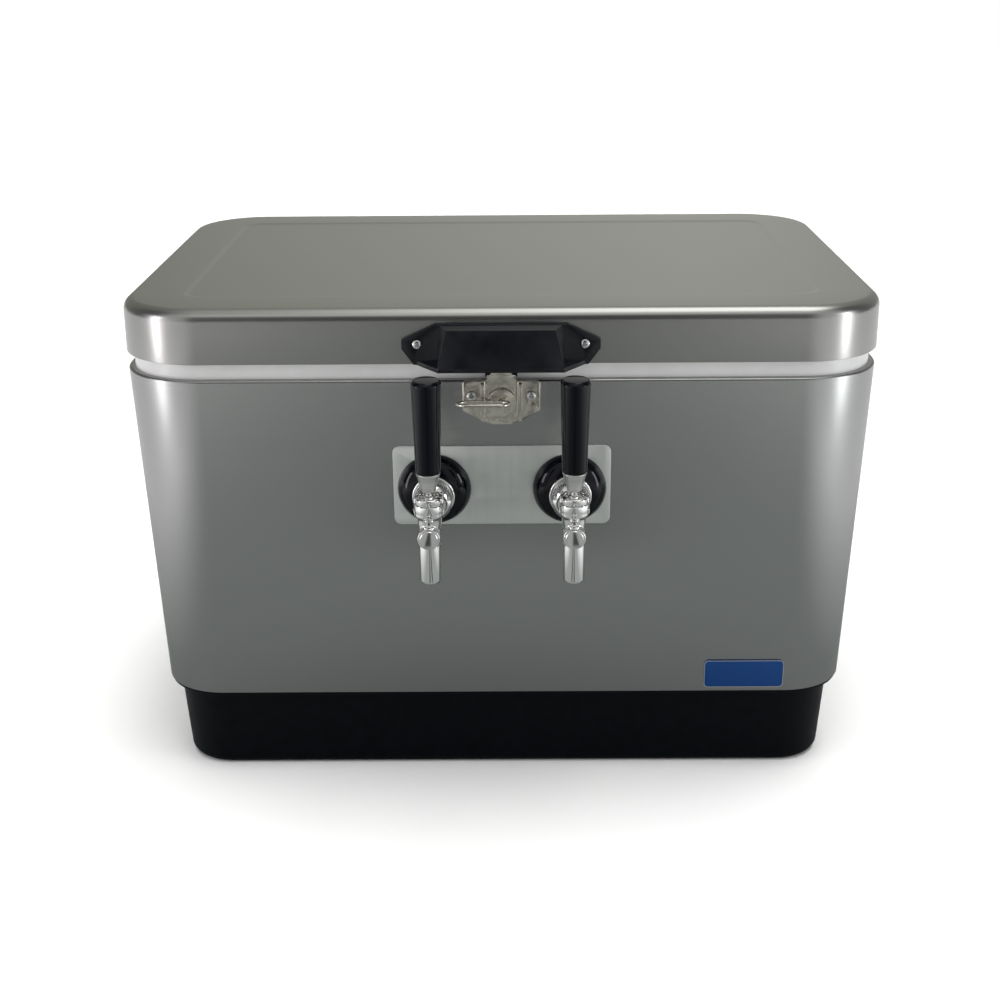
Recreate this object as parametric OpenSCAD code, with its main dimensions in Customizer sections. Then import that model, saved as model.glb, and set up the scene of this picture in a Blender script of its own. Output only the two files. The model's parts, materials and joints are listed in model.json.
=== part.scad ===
// Jockey box: a steel-belted ice chest with two beer taps, two chilling coils and a hinged lid.
// The origin is the middle of the base's underside. X is the width, +Y the back and +Z up.
// The pieces share one plan outline, and each keeps its own distance out from the corner centres.

/* [Chest] */
// Width over the lid
lid_w = 630; // [560:1:760]
// Depth over the lid
lid_d = 455; // [370:1:560]
// Corner radius of the lid, seen from above
lid_r = 70; // [62:1:90]
// Height of the black base tray
base_h = 78; // [72:1:110]
// Height of the steel belt
belt_h = 286; // [270:1:350]
// Height of the white rim that shows between belt and lid
rim_h = 13; // [10:0.5:18]
// Height of the lid
lid_h = 45; // [40:1:60]
// Distance that each wall of the belt leans out from its foot to its top
belt_flare = 13.5; // [6:0.5:20]
// Step in from the lid to the top of the belt
belt_inset = 0.5; // [0.5:0.1:2]
// Step in from the belt's foot to the base tray
base_inset = 9; // [6:0.5:12]
// Step in from the lid to the white rim
rim_inset = 6; // [4:0.5:9]
// Thickness of the insulated wall at the lid
wall_t = 42; // [38:1:50]
// Height of the chest's inner floor
floor_z = 45; // [35:1:55]
// Thickness of the steel sheet
steel_t = 0.8; // [0.6:0.1:1.2]
// Thickness of the plastic mouldings
plastic_t = 2.5; // [2:0.1:3.5]
// Radius of the lid's top edge
lid_edge_r = 10; // [6:0.5:14]
// Radius of the base tray's lower edge
base_edge_r = 14; // [8:1:20]

/* [Lid movement] */
// Width of each hinge
hinge_w = 60; // [50:1:80]
// Distance between the two hinges
hinge_spacing = 380; // [300:1:400]
// Diameter of the hinge pins
hinge_pin_d = 4; // [3:0.5:5]

/* [Taps] */
// Distance between the two taps
tap_spacing = 112; // [106:1:125]
// Depth of the taps below the top of the belt
tap_drop = 94; // [90:1:120]
// Diameter of the threaded shank
shank_d = 22.2; // [20:0.1:23]
// Diameter of the beer way through shank and lines
beer_way_d = 6.4; // [5:0.1:7]
// Diameter of the black flange
flange_d = 62; // [56:1:70]
// Height of the black flange
flange_h = 14; // [10:0.5:18]
// Diameter of the shank's collar
collar_d = 35; // [33:0.5:38]
// Diameter of the faucet's barrel
barrel_d = 17.4; // [17:0.1:19]
// Distance from the wall to the front of the faucet
faucet_reach = 108; // [104:1:116]
// Distance from the wall to the axis of lever and spout
lever_reach = 92; // [88:1:96]
// Diameter of the lever's ball
ball_d = 18.4; // [18:0.1:18.6]
// Height of the ball's centre above the barrel
ball_up = 23; // [22:0.5:24]
// Furthest forward tilt of the tap lever, in degrees
lever_tilt = 28; // [20:1:28]
// Diameter of the spout
spout_d = 16.9; // [16:0.1:18]
// Bore of the spout
spout_bore_d = 12.8; // [11:0.1:13]
// Drop from the barrel's axis to the end of the spout
spout_drop = 41; // [34:1:60]
// Length of the black tap handle
grip_h = 74.5; // [60:0.5:110]
// Diameter of the tap handle at its foot
grip_foot_d = 19; // [17:0.5:22]
// Diameter of the tap handle near its top
grip_top_d = 23; // [20:0.5:28]

/* [Backing plate] */
// Width of the plate behind the taps
tap_plate_w = 179.5; // [178:0.5:220]
// Height of the plate behind the taps
tap_plate_h = 69.5; // [66:0.5:80]
// Thickness of the plate behind the taps
tap_plate_t = 1.5; // [1:0.1:2.5]

/* [Coils] */
// Outer diameter of the stainless tube
tube_d = 9.53; // [8:0.01:10]
// Wall of the stainless tube
tube_wall = 0.9; // [0.7:0.1:1.2]
// Length of tube wound in each coil
coil_length = 14600; // [9000:100:18000]
// Free width between a coil and the end wall
coil_side_gap = 18; // [8:1:40]
// Radius of the bends in the coil's risers
riser_bend_r = 25; // [18:1:32]

/* [Latch] */
// Depth of the latch rotor below the top of the belt
latch_drop = 17; // [16.5:0.5:18]
// Width of the latch's fixed plate
latch_plate_w = 63; // [60:1:72]
// Width of the sliding hasp
hasp_w = 27.4; // [26:0.2:28]
// Throw of the latch's off-centre cam
cam_throw = 2.2; // [1.8:0.1:2.2]
// Diameter of the latch ring's wire
ring_wire_d = 3; // [2.4:0.1:3.2]

/* [Side handles] */
// Height of the handle pivots below the top of the belt
bail_drop = 60; // [50:1:90]
// Length of the handle's grip
bail_grip_w = 100; // [90:1:115]
// Diameter of the handle's grip
bail_grip_d = 19; // [16:0.5:20]
// Drop from the pivots to the middle of the grip
bail_arm = 52; // [45:1:60]
// Diameter of the bail rod
bail_rod_d = 6; // [5:0.5:7]

/* [Drain] */
// Height of the drain's axis
drain_z = 60; // [60:1:62]
// Distance of the drain from the middle of the end wall, towards the back
drain_y = 110; // [60:1:120]
// Outer diameter of the drain's thread
drain_thread_d = 26.4; // [25:0.1:27]
// Bore of the drain
drain_bore_d = 19; // [15:0.5:20]

/* [Nameplate] */
// Width of the plain blue nameplate
name_w = 69; // [50:1:80]
// Height of the plain blue nameplate
name_h = 26; // [18:1:30]

/* [Hidden] */
$fn = 64;

// Clearances
rest_gap = 0.3; // between pieces that lie against each other
fit_gap = 0.05; // running fit, on the radius
hole_gap = 0.3; // bolt or shank in its hole, on the radius

// Heights of the chest's joints, from the floor up
belt_top = base_h + belt_h;
rim_top = belt_top + rim_h;
lid_foot = rim_top + rest_gap;
lid_top = rim_top + lid_h;

// Corner centres, shared by all the shells
core_x = lid_w / 2 - lid_r;
core_y = lid_d / 2 - lid_r;

// How far each shell reaches out from the corner centres
belt_top_reach = lid_r - belt_inset;
belt_foot_reach = belt_top_reach - belt_flare;
base_reach = belt_foot_reach - base_inset;
base_draft = 7;
base_foot_reach = base_reach - base_draft;
tray_t = 3;
rim_reach = lid_r - rim_inset;
inner_top_reach = lid_r - wall_t;
inner_draft = 4;
inner_foot_reach = inner_top_reach - inner_draft;
lip_h = 12; // upright lip of the tray, behind the belt's foot
skirt_z = belt_top - 10; // foot of the liner's outer skirt, behind the belt
lean = atan(belt_flare / belt_h);

// Lid liner: a flange inside the pan, an upstand at its edge and a plug that drops into the chest
lid_flange_reach = lid_r - steel_t - rest_gap;
upstand_top = lid_foot + 15;
plug_gap = 1.8;
plug_reach = inner_top_reach - plug_gap;
plug_foot = rim_top - 12;

function belt_reach(z) = belt_foot_reach + belt_flare * (z - base_h) / belt_h;
function inner_reach(z) = inner_foot_reach + inner_draft * (z - floor_z) / (rim_top - floor_z);

// Taps
tap_z = belt_top - tap_drop;
tap_x = tap_spacing / 2;
tap_plate_up = 2.8; // height of the plate's middle above the taps' axis
shank_r = shank_d / 2;
wall_depth = belt_reach(tap_z) - inner_reach(tap_z);
flange_front = tap_plate_t + flange_h;
collar_t = 5;
coupling_from = flange_front + collar_t;
coupling_l = 16;
coupling_d = 31;
barrel_r = barrel_d / 2;
barrel_end = faucet_reach - 4;
rear_bore_r = 6.5;
seat_front = lever_reach - 11;
seat_back = seat_front - 3;
seat_r = 4.4;
chamber_r = 6;
neck_r = 9.3;
neck_bore_r = 6.5;
housing_r = 11.75;
bonnet_from = ball_up + 2;
bonnet_top = ball_up + 8;
bonnet_r = 11;
stem_r = 3.5;
finger_l = 21;
finger_r = 1.5;
finger_tip_r = 2.5;
finger_lean = lever_tilt / 2;
ferrule_from = ball_up + 12;
ferrule_h = 15;
ferrule_foot_d = 11.6;
grip_from = ferrule_from + ferrule_h;
stud_r = 4.7;
stud_top = grip_from + 22;
valve_at = lever_reach + finger_l * sin(finger_lean);
yoke_slot = 3.1;
yoke_cheek = 2.5;
spout_r = spout_d / 2;
spout_from = barrel_r + 0.8;
nut_flat = 30;
shank_nut_t = 9;
shank_tail_r = 6.5;
shank_end = wall_depth + 32;
line_nut_flat = 17;
line_nut_l = 18;

// Coils
tube_r = tube_d / 2;
turn_pitch = tube_d - 0.1;
layer_gap = 3.5;
riser_lead = 14;
coil_outer_r = (core_x + inner_foot_reach - coil_side_gap - tube_r - tap_x) / 2;
coil_inner_r = coil_outer_r - tube_d - layer_gap;
coil_x = tap_x + coil_outer_r;
coil_turns = round(coil_length / (2 * PI * (coil_outer_r + coil_inner_r)));
coil_foot = floor_z + rest_gap + tube_r;
riser_foot = coil_foot + coil_turns * turn_pitch;
inlet_x = coil_x - coil_inner_r;

// Inlets at the back
inlet_thread_r = 7.9;
inlet_flare_r = 5.55;
inlet_hex = 22;
inlet_nut_t = 7;
inlet_end = wall_depth + 22;

// Latch
latch_z = belt_top - latch_drop;
latch_t = 1.2;
rib_out = 5.2;
rib_w = 2.6;
hasp_out = 5.5;
hasp_t = 1.2;
stub_r = 4; // the rotor's spindle in the fixed plate
cam_r = 7.5;
cam_gap = 0.7;
disc_r = 11.5;
disc_out = hasp_out + hasp_t + 0.3;
disc_t = 1.3;
ear_screw_x = latch_plate_w / 2 - 7.3;
ear_screw_up = 3.5;
ring_out = disc_out + disc_t + 2.6;
ring_up = 1.5;
ring_tilt = 5;
ring_bend_r = 8.5;
ring_left = -27;
ring_right = -2;
hook_w = 16;
hook_t = 1.2;
hook_under = rim_top - 0.6;
hook_tip = 3.3;
hook_window_h = 8.6; // height of the window over the lid's bar
keeper_t = 2.6;
keeper_top = hook_under - 2 * cam_throw - 0.4;

// Lid pull
pull_out = 26;
pull_z = rim_top + 18;
pull_screw_x = 67;
pull_half_w = 79.5;

// Hinges
hinge_axis_y = lid_d / 2 + 5.4;
hinge_axis_z = rim_top - 6;
knuckle_r = 4.2;
knuckle_split = hinge_w / 6;
web_h = 10; // blocks that carry the knuckles on the chest's leaves
web_inset = 0.5; // the webs end short of the leaf's ends
leaf_z = belt_top - 18; // middle of the leaves on the chest
lid_leaf_z = rim_top + 20; // screws of the leaves on the lid
leaf_t = 1.5;
leaf_h = 30;
leaf_screw_spacing = 20;
screw_d = 4;
screw_head_d = 7.6;
screw_l = 8;
screw_head_t = 2.4;
screw_chamfer = 1.2;
cross_l = 4.4; // cross recess of the screw heads
cross_w = 1;
cross_depth = 1.4;

// Side handles
bail_z = belt_top - bail_drop;
bail_out = 12;
ear_y = bail_grip_w / 2 + 1;
ear_w = 8;
ear_r = 6.5;
bail_bend_r = 8;
bail_arm_y = ear_y + ear_w + bail_bend_r + 0.5;
bail_rod_r = bail_rod_d / 2;
bracket_h = 34;
bracket_w = 2 * ear_y + 2 * ear_w + 36;
bracket_t = 1.5;
bracket_screw_y = bracket_w / 2 - 8;

// Drain
boss_root = 5; // the boss starts this far inside the tray's upper wall
boss_face = core_x + belt_foot_reach - 2.5;
drain_flange_t = 3;
drain_flange_r = 17;
gasket_r = 14;
boss_r = 15;
gasket_t = 1.6;
drain_seat = boss_face + gasket_t;
drain_mouth = drain_seat + 27;
drain_tail_r = 11.5;
drain_inner = core_x + inner_reach(drain_z);
cap_r = 17.5;
cap_wall = 3;
cap_seal_t = 2.4;

steel = [0.62, 0.62, 0.60];
bright = [0.80, 0.80, 0.79];
nickel = [0.72, 0.70, 0.66];
black = [0.05, 0.05, 0.06];
white = [0.93, 0.93, 0.92];
foam = [0.90, 0.86, 0.72];

// --- Shared shapes ---

// Sweeps a profile (x out from the corner centres, y up) round the plan outline, with a filled middle
module round_outline(middle_from = 0, middle_to = 0) {
    for (turn = [0, 180]) {
        rotate([0, 0, turn]) translate([core_x, 0, 0]) rotate([90, 0, 0])
            linear_extrude(2 * core_y, center = true) children();
        rotate([0, 0, turn + 90]) translate([core_y, 0, 0]) rotate([90, 0, 0])
            linear_extrude(2 * core_x, center = true) children();
    }
    for (corner = [[1, 1, 0], [-1, 1, 90], [-1, -1, 180], [1, -1, 270]])
        translate([corner[0] * core_x, corner[1] * core_y, 0]) rotate([0, 0, corner[2]])
            rotate_extrude(angle = 90) children();
    if (middle_to > middle_from)
        translate([-core_x, -core_y, middle_from])
            cube([2 * core_x, 2 * core_y, middle_to - middle_from]);
}

// Moves to the outside of a leaning belt wall: -Y points out of the wall and +Z up along it
module on_wall(turn, core, z) {
    rotate([0, 0, turn]) translate([0, -(core + belt_reach(z)), z]) rotate([lean, 0, 0]) children();
}

module on_front(z) on_wall(0, core_y, z) children();

module on_back(z) on_wall(180, core_y, z) children();

module on_end(side, z) on_wall(side * 90, core_x, z) children();

module at_tap(side) on_front(tap_z) translate([side * tap_x, 0, 0]) children();

module at_inlet(side) on_back(tap_z) translate([-side * inlet_x, 0, 0]) children();

// A round bar along the wall's normal, between two distances out from the wall
module peg(r, from, to) {
    translate([0, -from, 0]) rotate([90, 0, 0]) cylinder(r = r, h = to - from);
}

// A cone along the wall's normal
module cone_peg(r_from, r_to, from, to) {
    translate([0, -from, 0]) rotate([90, 0, 0]) cylinder(r1 = r_from, r2 = r_to, h = to - from);
}

// A hexagon bar along the wall's normal, measured across its flats
module hex_peg(flats, from, to) {
    translate([0, -from, 0]) rotate([90, 0, 0]) cylinder(r = flats / sqrt(3), h = to - from, $fn = 6);
}

module round_rect(w, h, r) {
    square([w - 2 * r, h], center = true);
    square([w, h - 2 * r], center = true);
    for (x = [-1, 1], y = [-1, 1])
        translate([x * (w / 2 - r), y * (h / 2 - r)]) circle(r);
}

// A flat plate that lies on the wall, with its outline drawn as seen from outside
module wall_plate(from, to) {
    translate([0, -from, 0]) rotate([90, 0, 0]) linear_extrude(to - from) children();
}

// A pan-head screw with a cross recess: the head rests on the plane at the given distance
module screw(seat, length) {
    difference() {
        union() {
            peg(screw_d / 2, seat - length, seat);
            peg(screw_head_d / 2, seat, seat + screw_head_t - screw_chamfer);
            cone_peg(screw_head_d / 2, screw_head_d / 2 - screw_chamfer,
                seat + screw_head_t - screw_chamfer, seat + screw_head_t);
        }
        wall_plate(seat + screw_head_t - cross_depth, seat + screw_head_t + 1) {
            square([cross_l, cross_w], center = true);
            square([cross_w, cross_l], center = true);
        }
    }
}

module screw_hole(depth) peg(screw_d / 2 + hole_gap, -depth, 1);

module tube_ring() {
    difference() {
        circle(tube_r);
        circle(tube_r - tube_wall);
    }
}

// A straight length of tube along +Z, and what follows it
module tube_run(length) {
    linear_extrude(length) tube_ring();
    translate([0, 0, length]) children();
}

// A bend of the tube from +Z towards +Y, and what follows it
module tube_bend(radius, angle) {
    translate([0, radius, 0]) rotate([90, 0, 0]) rotate([0, -90, 0])
        rotate_extrude(angle = angle) translate([radius, 0]) tube_ring();
    translate([0, radius * (1 - cos(angle)), radius * sin(angle)]) rotate([-angle, 0, 0]) children();
}

// --- Places of the screws ---

module hinge_places() {
    for (side = [-1, 1])
        translate([side * hinge_spacing / 2, 0, 0]) children();
}

module body_leaf_screws() {
    on_back(leaf_z) hinge_places() for (i = [-1, 1])
        translate([i * leaf_screw_spacing, 0, 0]) children();
}

module lid_leaf_screws() {
    translate([0, lid_d / 2, lid_leaf_z]) rotate([0, 0, 180]) hinge_places() for (i = [-1, 1])
        translate([i * leaf_screw_spacing, 0, 0]) children();
}

module latch_screw_places() {
    on_front(latch_z) for (side = [-1, 1])
        translate([side * ear_screw_x, 0, ear_screw_up]) children();
}

module pull_screw_places() {
    translate([0, -lid_d / 2, pull_z]) for (side = [-1, 1])
        translate([side * pull_screw_x, 0, 0]) children();
}

module bracket_screw_places() {
    for (side = [-1, 1]) on_end(side, bail_z) for (i = [-1, 1])
        translate([i * bracket_screw_y, 0, -6]) children();
}

// Every hole that the fittings need through the belt, the foam and the liner
module wall_holes(extra) {
    for (side = [-1, 1]) {
        at_tap(side) peg(shank_r + hole_gap + extra, -wall_depth - 12, 6);
        at_inlet(side) peg(inlet_thread_r + hole_gap + extra, -wall_depth - 12, 6);
    }
    drain_hole(extra);
}

module drain_hole(extra) {
    translate([drain_inner - 12, drain_y, drain_z]) rotate([0, 90, 0])
        cylinder(r = drain_tail_r + hole_gap + extra, h = 60);
}

module skin_screw_holes() {
    body_leaf_screws() screw_hole(screw_l + 1);
    latch_screw_places() screw_hole(screw_l + 1);
    bracket_screw_places() screw_hole(screw_l + 1);
}

// --- Chest ---

module base_profile(inset) {
    r = base_edge_r - inset;
    foot = base_foot_reach - inset;
    polygon([[0, inset], [foot - r, inset], [foot, inset + r], [base_reach - inset, base_h], [0, base_h]]);
    translate([foot - r, inset + r]) circle(r);
}

module base_tray() color(black) {
    lip = belt_foot_reach - steel_t - rest_gap;
    difference() {
        union() {
            round_outline(0, tray_t) {
                difference() {
                    union() {
                        base_profile(0);
                        translate([0, base_h - tray_t - 0.5]) square([lip, tray_t + 0.5]);
                    }
                    base_profile(tray_t);
                }
            }
            round_outline() translate([lip - plastic_t, base_h - 1]) square([plastic_t, lip_h + 1]);
            translate([core_x + base_reach - boss_root, drain_y, drain_z]) rotate([0, 90, 0])
                cylinder(r = boss_r, h = boss_face - core_x - base_reach + boss_root);
        }
        drain_hole(0);
    }
}

module steel_belt() color(steel) difference() {
    hem_z = belt_top - steel_t;
    round_outline() polygon([[belt_foot_reach - steel_t, base_h], [belt_foot_reach, base_h],
        [belt_top_reach, belt_top], [rim_reach + rest_gap, belt_top], [rim_reach + rest_gap, hem_z],
        [belt_reach(hem_z) - steel_t, hem_z]]);
    wall_holes(0);
    skin_screw_holes();
}

module inner_liner() color(white) difference() {
    round_outline(floor_z - plastic_t, floor_z) polygon([
        [0, floor_z - plastic_t], [inner_foot_reach + plastic_t, floor_z - plastic_t],
        [inner_top_reach + plastic_t, rim_top - plastic_t], [rim_reach - plastic_t, rim_top - plastic_t],
        [rim_reach - plastic_t, skirt_z], [rim_reach, skirt_z], [rim_reach, rim_top],
        [inner_top_reach, rim_top], [inner_foot_reach, floor_z], [0, floor_z]]);
    wall_holes(0);
}

module body_foam() color(foam) difference() {
    g = rest_gap;
    lip = belt_foot_reach - steel_t - rest_gap - plastic_t;
    inside = inner_foot_reach + plastic_t + g;
    foot = tray_t + g;
    hem_z = belt_top - steel_t;
    round_outline(foot, floor_z - plastic_t - g) polygon([
        [0, foot], [base_foot_reach - base_edge_r, foot], [base_foot_reach - foot, base_edge_r],
        [base_reach - foot - 0.2, base_h + g], [lip - g, base_h + g], [lip - g, base_h + lip_h + g],
        [belt_reach(base_h + lip_h) - steel_t - g, base_h + lip_h + g],
        [belt_reach(hem_z) - steel_t - g, hem_z - g], [rim_reach + g, hem_z - g],
        [rim_reach + g, skirt_z - g], [rim_reach - plastic_t - g, skirt_z - g],
        [rim_reach - plastic_t - g, rim_top - plastic_t - g],
        [inner_top_reach + plastic_t + g, rim_top - plastic_t - g],
        [inside, floor_z - plastic_t - g], [0, floor_z - plastic_t - g]]);
    wall_holes(0.2);
    skin_screw_holes();
    translate([core_x + base_reach - boss_root - g, drain_y, drain_z]) rotate([0, 90, 0])
        cylinder(r = boss_r + g, h = 3 * boss_root);
}

// --- Lid ---

module lid_profile(inset) {
    r = lid_edge_r - inset;
    reach = lid_r - inset;
    top = lid_top - inset;
    translate([0, lid_foot]) square([reach, top - lid_foot - r]);
    translate([0, lid_foot]) square([reach - r, top - lid_foot]);
    translate([reach - r, top - r]) circle(r);
}

module lid_pan() color(steel) difference() {
    round_outline(lid_top - steel_t, lid_top) difference() {
        lid_profile(0);
        intersection() {
            lid_profile(steel_t);
            square([2 * lid_r, lid_top]);
        }
    }
    lid_leaf_screws() screw_hole(screw_l + 1);
    pull_screw_places() screw_hole(screw_l + 1);
}

module lid_liner() color(white) round_outline(plug_foot, plug_foot + plastic_t) polygon([
    [0, plug_foot], [plug_reach, plug_foot], [plug_reach, lid_foot],
    [lid_flange_reach, lid_foot], [lid_flange_reach, upstand_top],
    [lid_flange_reach - plastic_t, upstand_top], [lid_flange_reach - plastic_t, lid_foot + plastic_t],
    [plug_reach - plastic_t, lid_foot + plastic_t], [plug_reach - plastic_t, plug_foot + plastic_t],
    [0, plug_foot + plastic_t]]);

module lid_foam() color(foam) difference() {
    g = rest_gap;
    low = plug_foot + plastic_t + g;
    round_outline(low, lid_top - steel_t - g) polygon([
        [0, low], [plug_reach - plastic_t - g, low],
        [plug_reach - plastic_t - g, lid_foot + plastic_t + g],
        [lid_flange_reach - plastic_t - g, lid_foot + plastic_t + g],
        [lid_flange_reach - plastic_t - g, upstand_top + g], [lid_flange_reach, upstand_top + g],
        [lid_flange_reach, lid_top - lid_edge_r], [lid_r - lid_edge_r, lid_top - steel_t - g],
        [0, lid_top - steel_t - g]]);
    lid_leaf_screws() screw_hole(screw_l + 2);
    pull_screw_places() screw_hole(screw_l + 2);
}

// The pull: a flat hexagonal back, a raised block that leans back at the top, and a bar for the hook
module lid_pull() color(black) translate([0, -lid_d / 2, 0]) difference() {
    union() {
        wall_plate(0, 5) polygon([[-pull_half_w, pull_z - 4], [-pull_half_w, pull_z + 3],
            [-53, pull_z + 15.5], [53, pull_z + 15.5], [pull_half_w, pull_z + 3],
            [pull_half_w, pull_z - 4], [70, pull_z - 17], [-70, pull_z - 17]]);
        hull() {
            wall_plate(0, 1) polygon([[-50, pull_z - 17], [-50, pull_z + 15],
                [50, pull_z + 15], [50, pull_z - 17]]);
            wall_plate(20, 21) polygon([[-43, pull_z + 10], [-43, pull_z + 14.5],
                [43, pull_z + 14.5], [43, pull_z + 10]]);
            wall_plate(pull_out - 1, pull_out) polygon([[-49.5, pull_z - 15], [-49, pull_z - 10],
                [49, pull_z - 10], [49.5, pull_z - 15]]);
            wall_plate(21, 22) polygon([[-50.5, pull_z - 19.5], [-50.5, pull_z - 18],
                [50.5, pull_z - 18], [50.5, pull_z - 19.5]]);
        }
        for (side = [-1, 1]) hull() {
            wall_plate(0, 3) polygon([[side * 49, pull_z - 17], [side * 69, pull_z - 17],
                [side * 69, pull_z - 14], [side * 49, pull_z - 12]]);
            wall_plate(20, 22) polygon([[side * 48, pull_z - 19.4], [side * 50.5, pull_z - 19.4],
                [side * 50, pull_z - 16], [side * 48, pull_z - 16]]);
        }
        wall_plate(0, keeper_t) translate([-hook_w / 2 - 5, keeper_top - 4.4])
            square([hook_w + 10, pull_z - keeper_top]);
    }
    translate([-44, -21.5, pull_z - 30]) cube([88, 18, 30]);
    translate([-hook_w / 2 - 1, -4, keeper_top]) cube([hook_w + 2, 5, hook_window_h]);
    for (side = [-1, 1])
        translate([side * pull_screw_x, 0, pull_z]) peg(screw_d / 2 + hole_gap, -1, 6);
}

module lid_pull_screws() color(bright) pull_screw_places() screw(5, screw_l + 4);

// --- Latch ---

module latch_plate() color(nickel) on_front(latch_z) difference() {
    w = latch_plate_w / 2;
    top = latch_drop - 0.5;
    channel = hasp_w / 2 + 0.4;
    union() {
        wall_plate(0, latch_t) polygon([[-w, -9], [-w, top - 2], [-w + 2, top], [w - 2, top],
            [w, top - 2], [w, -9], [channel + 1, -18], [8, -20.5], [-8, -20.5], [-channel - 1, -18]]);
        for (side = [-1, 1])
            translate([side * (channel + rib_w / 2) - rib_w / 2, -rib_out, -17])
                cube([rib_w, rib_out, 17 + top - 2]);
        peg(7, 0, 2.6);
    }
    peg(stub_r + fit_gap, -1, 4);
    for (side = [-1, 1])
        translate([side * ear_screw_x, 0, ear_screw_up]) peg(screw_d / 2 + hole_gap, -1, 3);
}

module latch_screws() color(bright) latch_screw_places() screw(latch_t, screw_l);

// The hasp is drawn unlocked: up, and far enough out for its hook to pass the lid's bar
module latch_hasp() color(nickel) on_front(latch_z) difference() {
    w = hasp_w / 2;
    top = hook_under + hook_t - latch_z;
    union() {
        wall_plate(hasp_out, hasp_out + hasp_t) {
            polygon([[-w, -14], [-w, latch_drop], [-w + 4, latch_drop + 4], [w - 4, latch_drop + 4],
                [w, latch_drop], [w, -14], [8, -19], [-8, -19]]);
            translate([-hook_w / 2, latch_drop]) square([hook_w, top - latch_drop]);
        }
        translate([-hook_w / 2, -hasp_out - hasp_t, top - hook_t])
            cube([hook_w, hasp_out + hasp_t - hook_tip, hook_t]);
    }
    wall_plate(hasp_out - 1, hasp_out + hasp_t + 1) translate([0, cam_throw]) {
        for (side = [-1, 1]) translate([side * (cam_throw + 0.4), 0]) circle(cam_r + cam_gap);
        square([2 * cam_throw + 0.8, 2 * (cam_r + cam_gap)], center = true);
    }
    translate([-3, -hasp_out - 3, -15.5]) cube([6, 5, 2]);
}

module latch_rotor() color(nickel) on_front(latch_z) difference() {
    union() {
        peg(stub_r, 0.2, 2.9);
        translate([0, 0, cam_throw]) peg(cam_r, 2.9, disc_out);
        peg(disc_r, disc_out, disc_out + disc_t);
        translate([-8.5, -ring_out - 2.8, ring_up - 3]) cube([6, ring_out + 2.8 - disc_out - 1, 6]);
    }
    translate([-10, -ring_out, ring_up]) rotate([0, 90, 0])
        cylinder(r = ring_wire_d / 2 + fit_gap, h = 10);
}

module latch_ring() color(nickel) on_front(latch_z) translate([0, -ring_out, ring_up])
    rotate([-ring_tilt, 0, 0]) {
        wire = ring_wire_d / 2;
        for (y = [0, -2 * ring_bend_r])
            translate([ring_left, y, 0]) rotate([0, 90, 0]) cylinder(r = wire, h = ring_right - ring_left);
        translate([ring_right, -ring_bend_r, 0]) rotate([0, 0, -90])
            rotate_extrude(angle = 180) translate([ring_bend_r, 0]) circle(wire);
        translate([ring_left, -ring_bend_r, 0]) rotate([0, 0, 90])
            rotate_extrude(angle = 180) translate([ring_bend_r, 0]) circle(wire);
    }

// --- Hinges ---

module knuckle(from, to) {
    translate([from, hinge_axis_y, hinge_axis_z]) rotate([0, 90, 0]) difference() {
        cylinder(r = knuckle_r, h = to - from);
        translate([0, 0, -1]) cylinder(r = hinge_pin_d / 2 + fit_gap, h = to - from + 2);
    }
}

module hinge_body_leaves() color(bright) hinge_places() {
    ends = [[-hinge_w / 2, -knuckle_split], [knuckle_split, hinge_w / 2]];
    for (end = ends)
        knuckle(end[0], end[1]);
    difference() {
        union() {
            on_back(leaf_z) wall_plate(0, leaf_t) translate([-hinge_w / 2, -leaf_h / 2])
                square([hinge_w, leaf_h + 1]);
            for (end = ends)
                translate([end[0] + web_inset, lid_d / 2, belt_top - web_h + 4])
                    cube([end[1] - end[0] - 2 * web_inset, hinge_axis_y - lid_d / 2, web_h]);
        }
        on_back(leaf_z) for (i = [-1, 1])
            translate([i * leaf_screw_spacing, 0, 0]) peg(screw_d / 2 + hole_gap, -1, 3);
        translate([-hinge_w, hinge_axis_y, hinge_axis_z]) rotate([0, 90, 0])
            cylinder(r = knuckle_r - 0.5, h = 2 * hinge_w);
    }
}

module hinge_lid_leaves() color(bright) hinge_places() {
    knuckle(-knuckle_split + rest_gap, knuckle_split - rest_gap);
    difference() {
        union() {
            translate([0, lid_d / 2, 0]) rotate([0, 0, 180]) wall_plate(0, leaf_t)
                translate([-hinge_w / 2, lid_foot + 1]) square([hinge_w, leaf_h + 4]);
            translate([-knuckle_split + rest_gap, lid_d / 2, hinge_axis_z + 1])
                cube([2 * knuckle_split - 2 * rest_gap, leaf_t, 12]);
            translate([-knuckle_split + rest_gap, lid_d / 2, hinge_axis_z + 2.2])
                cube([2 * knuckle_split - 2 * rest_gap, hinge_axis_y - lid_d / 2, 1.8]);
        }
        translate([0, lid_d / 2, lid_leaf_z]) rotate([0, 0, 180]) for (i = [-1, 1])
            translate([i * leaf_screw_spacing, 0, 0]) peg(screw_d / 2 + hole_gap, -1, 3);
        translate([-hinge_w, hinge_axis_y, hinge_axis_z]) rotate([0, 90, 0])
            cylinder(r = knuckle_r - 0.5, h = 2 * hinge_w);
    }
}

module hinge_pins() color(bright) hinge_places()
    translate([-hinge_w / 2 - 1.2, hinge_axis_y, hinge_axis_z]) rotate([0, 90, 0])
        cylinder(r = hinge_pin_d / 2, h = hinge_w + 2.4);

module hinge_body_screws() color(bright) body_leaf_screws() screw(leaf_t, screw_l);

module hinge_lid_screws() color(bright) lid_leaf_screws() screw(leaf_t, screw_l);

// --- Side handles ---

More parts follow.
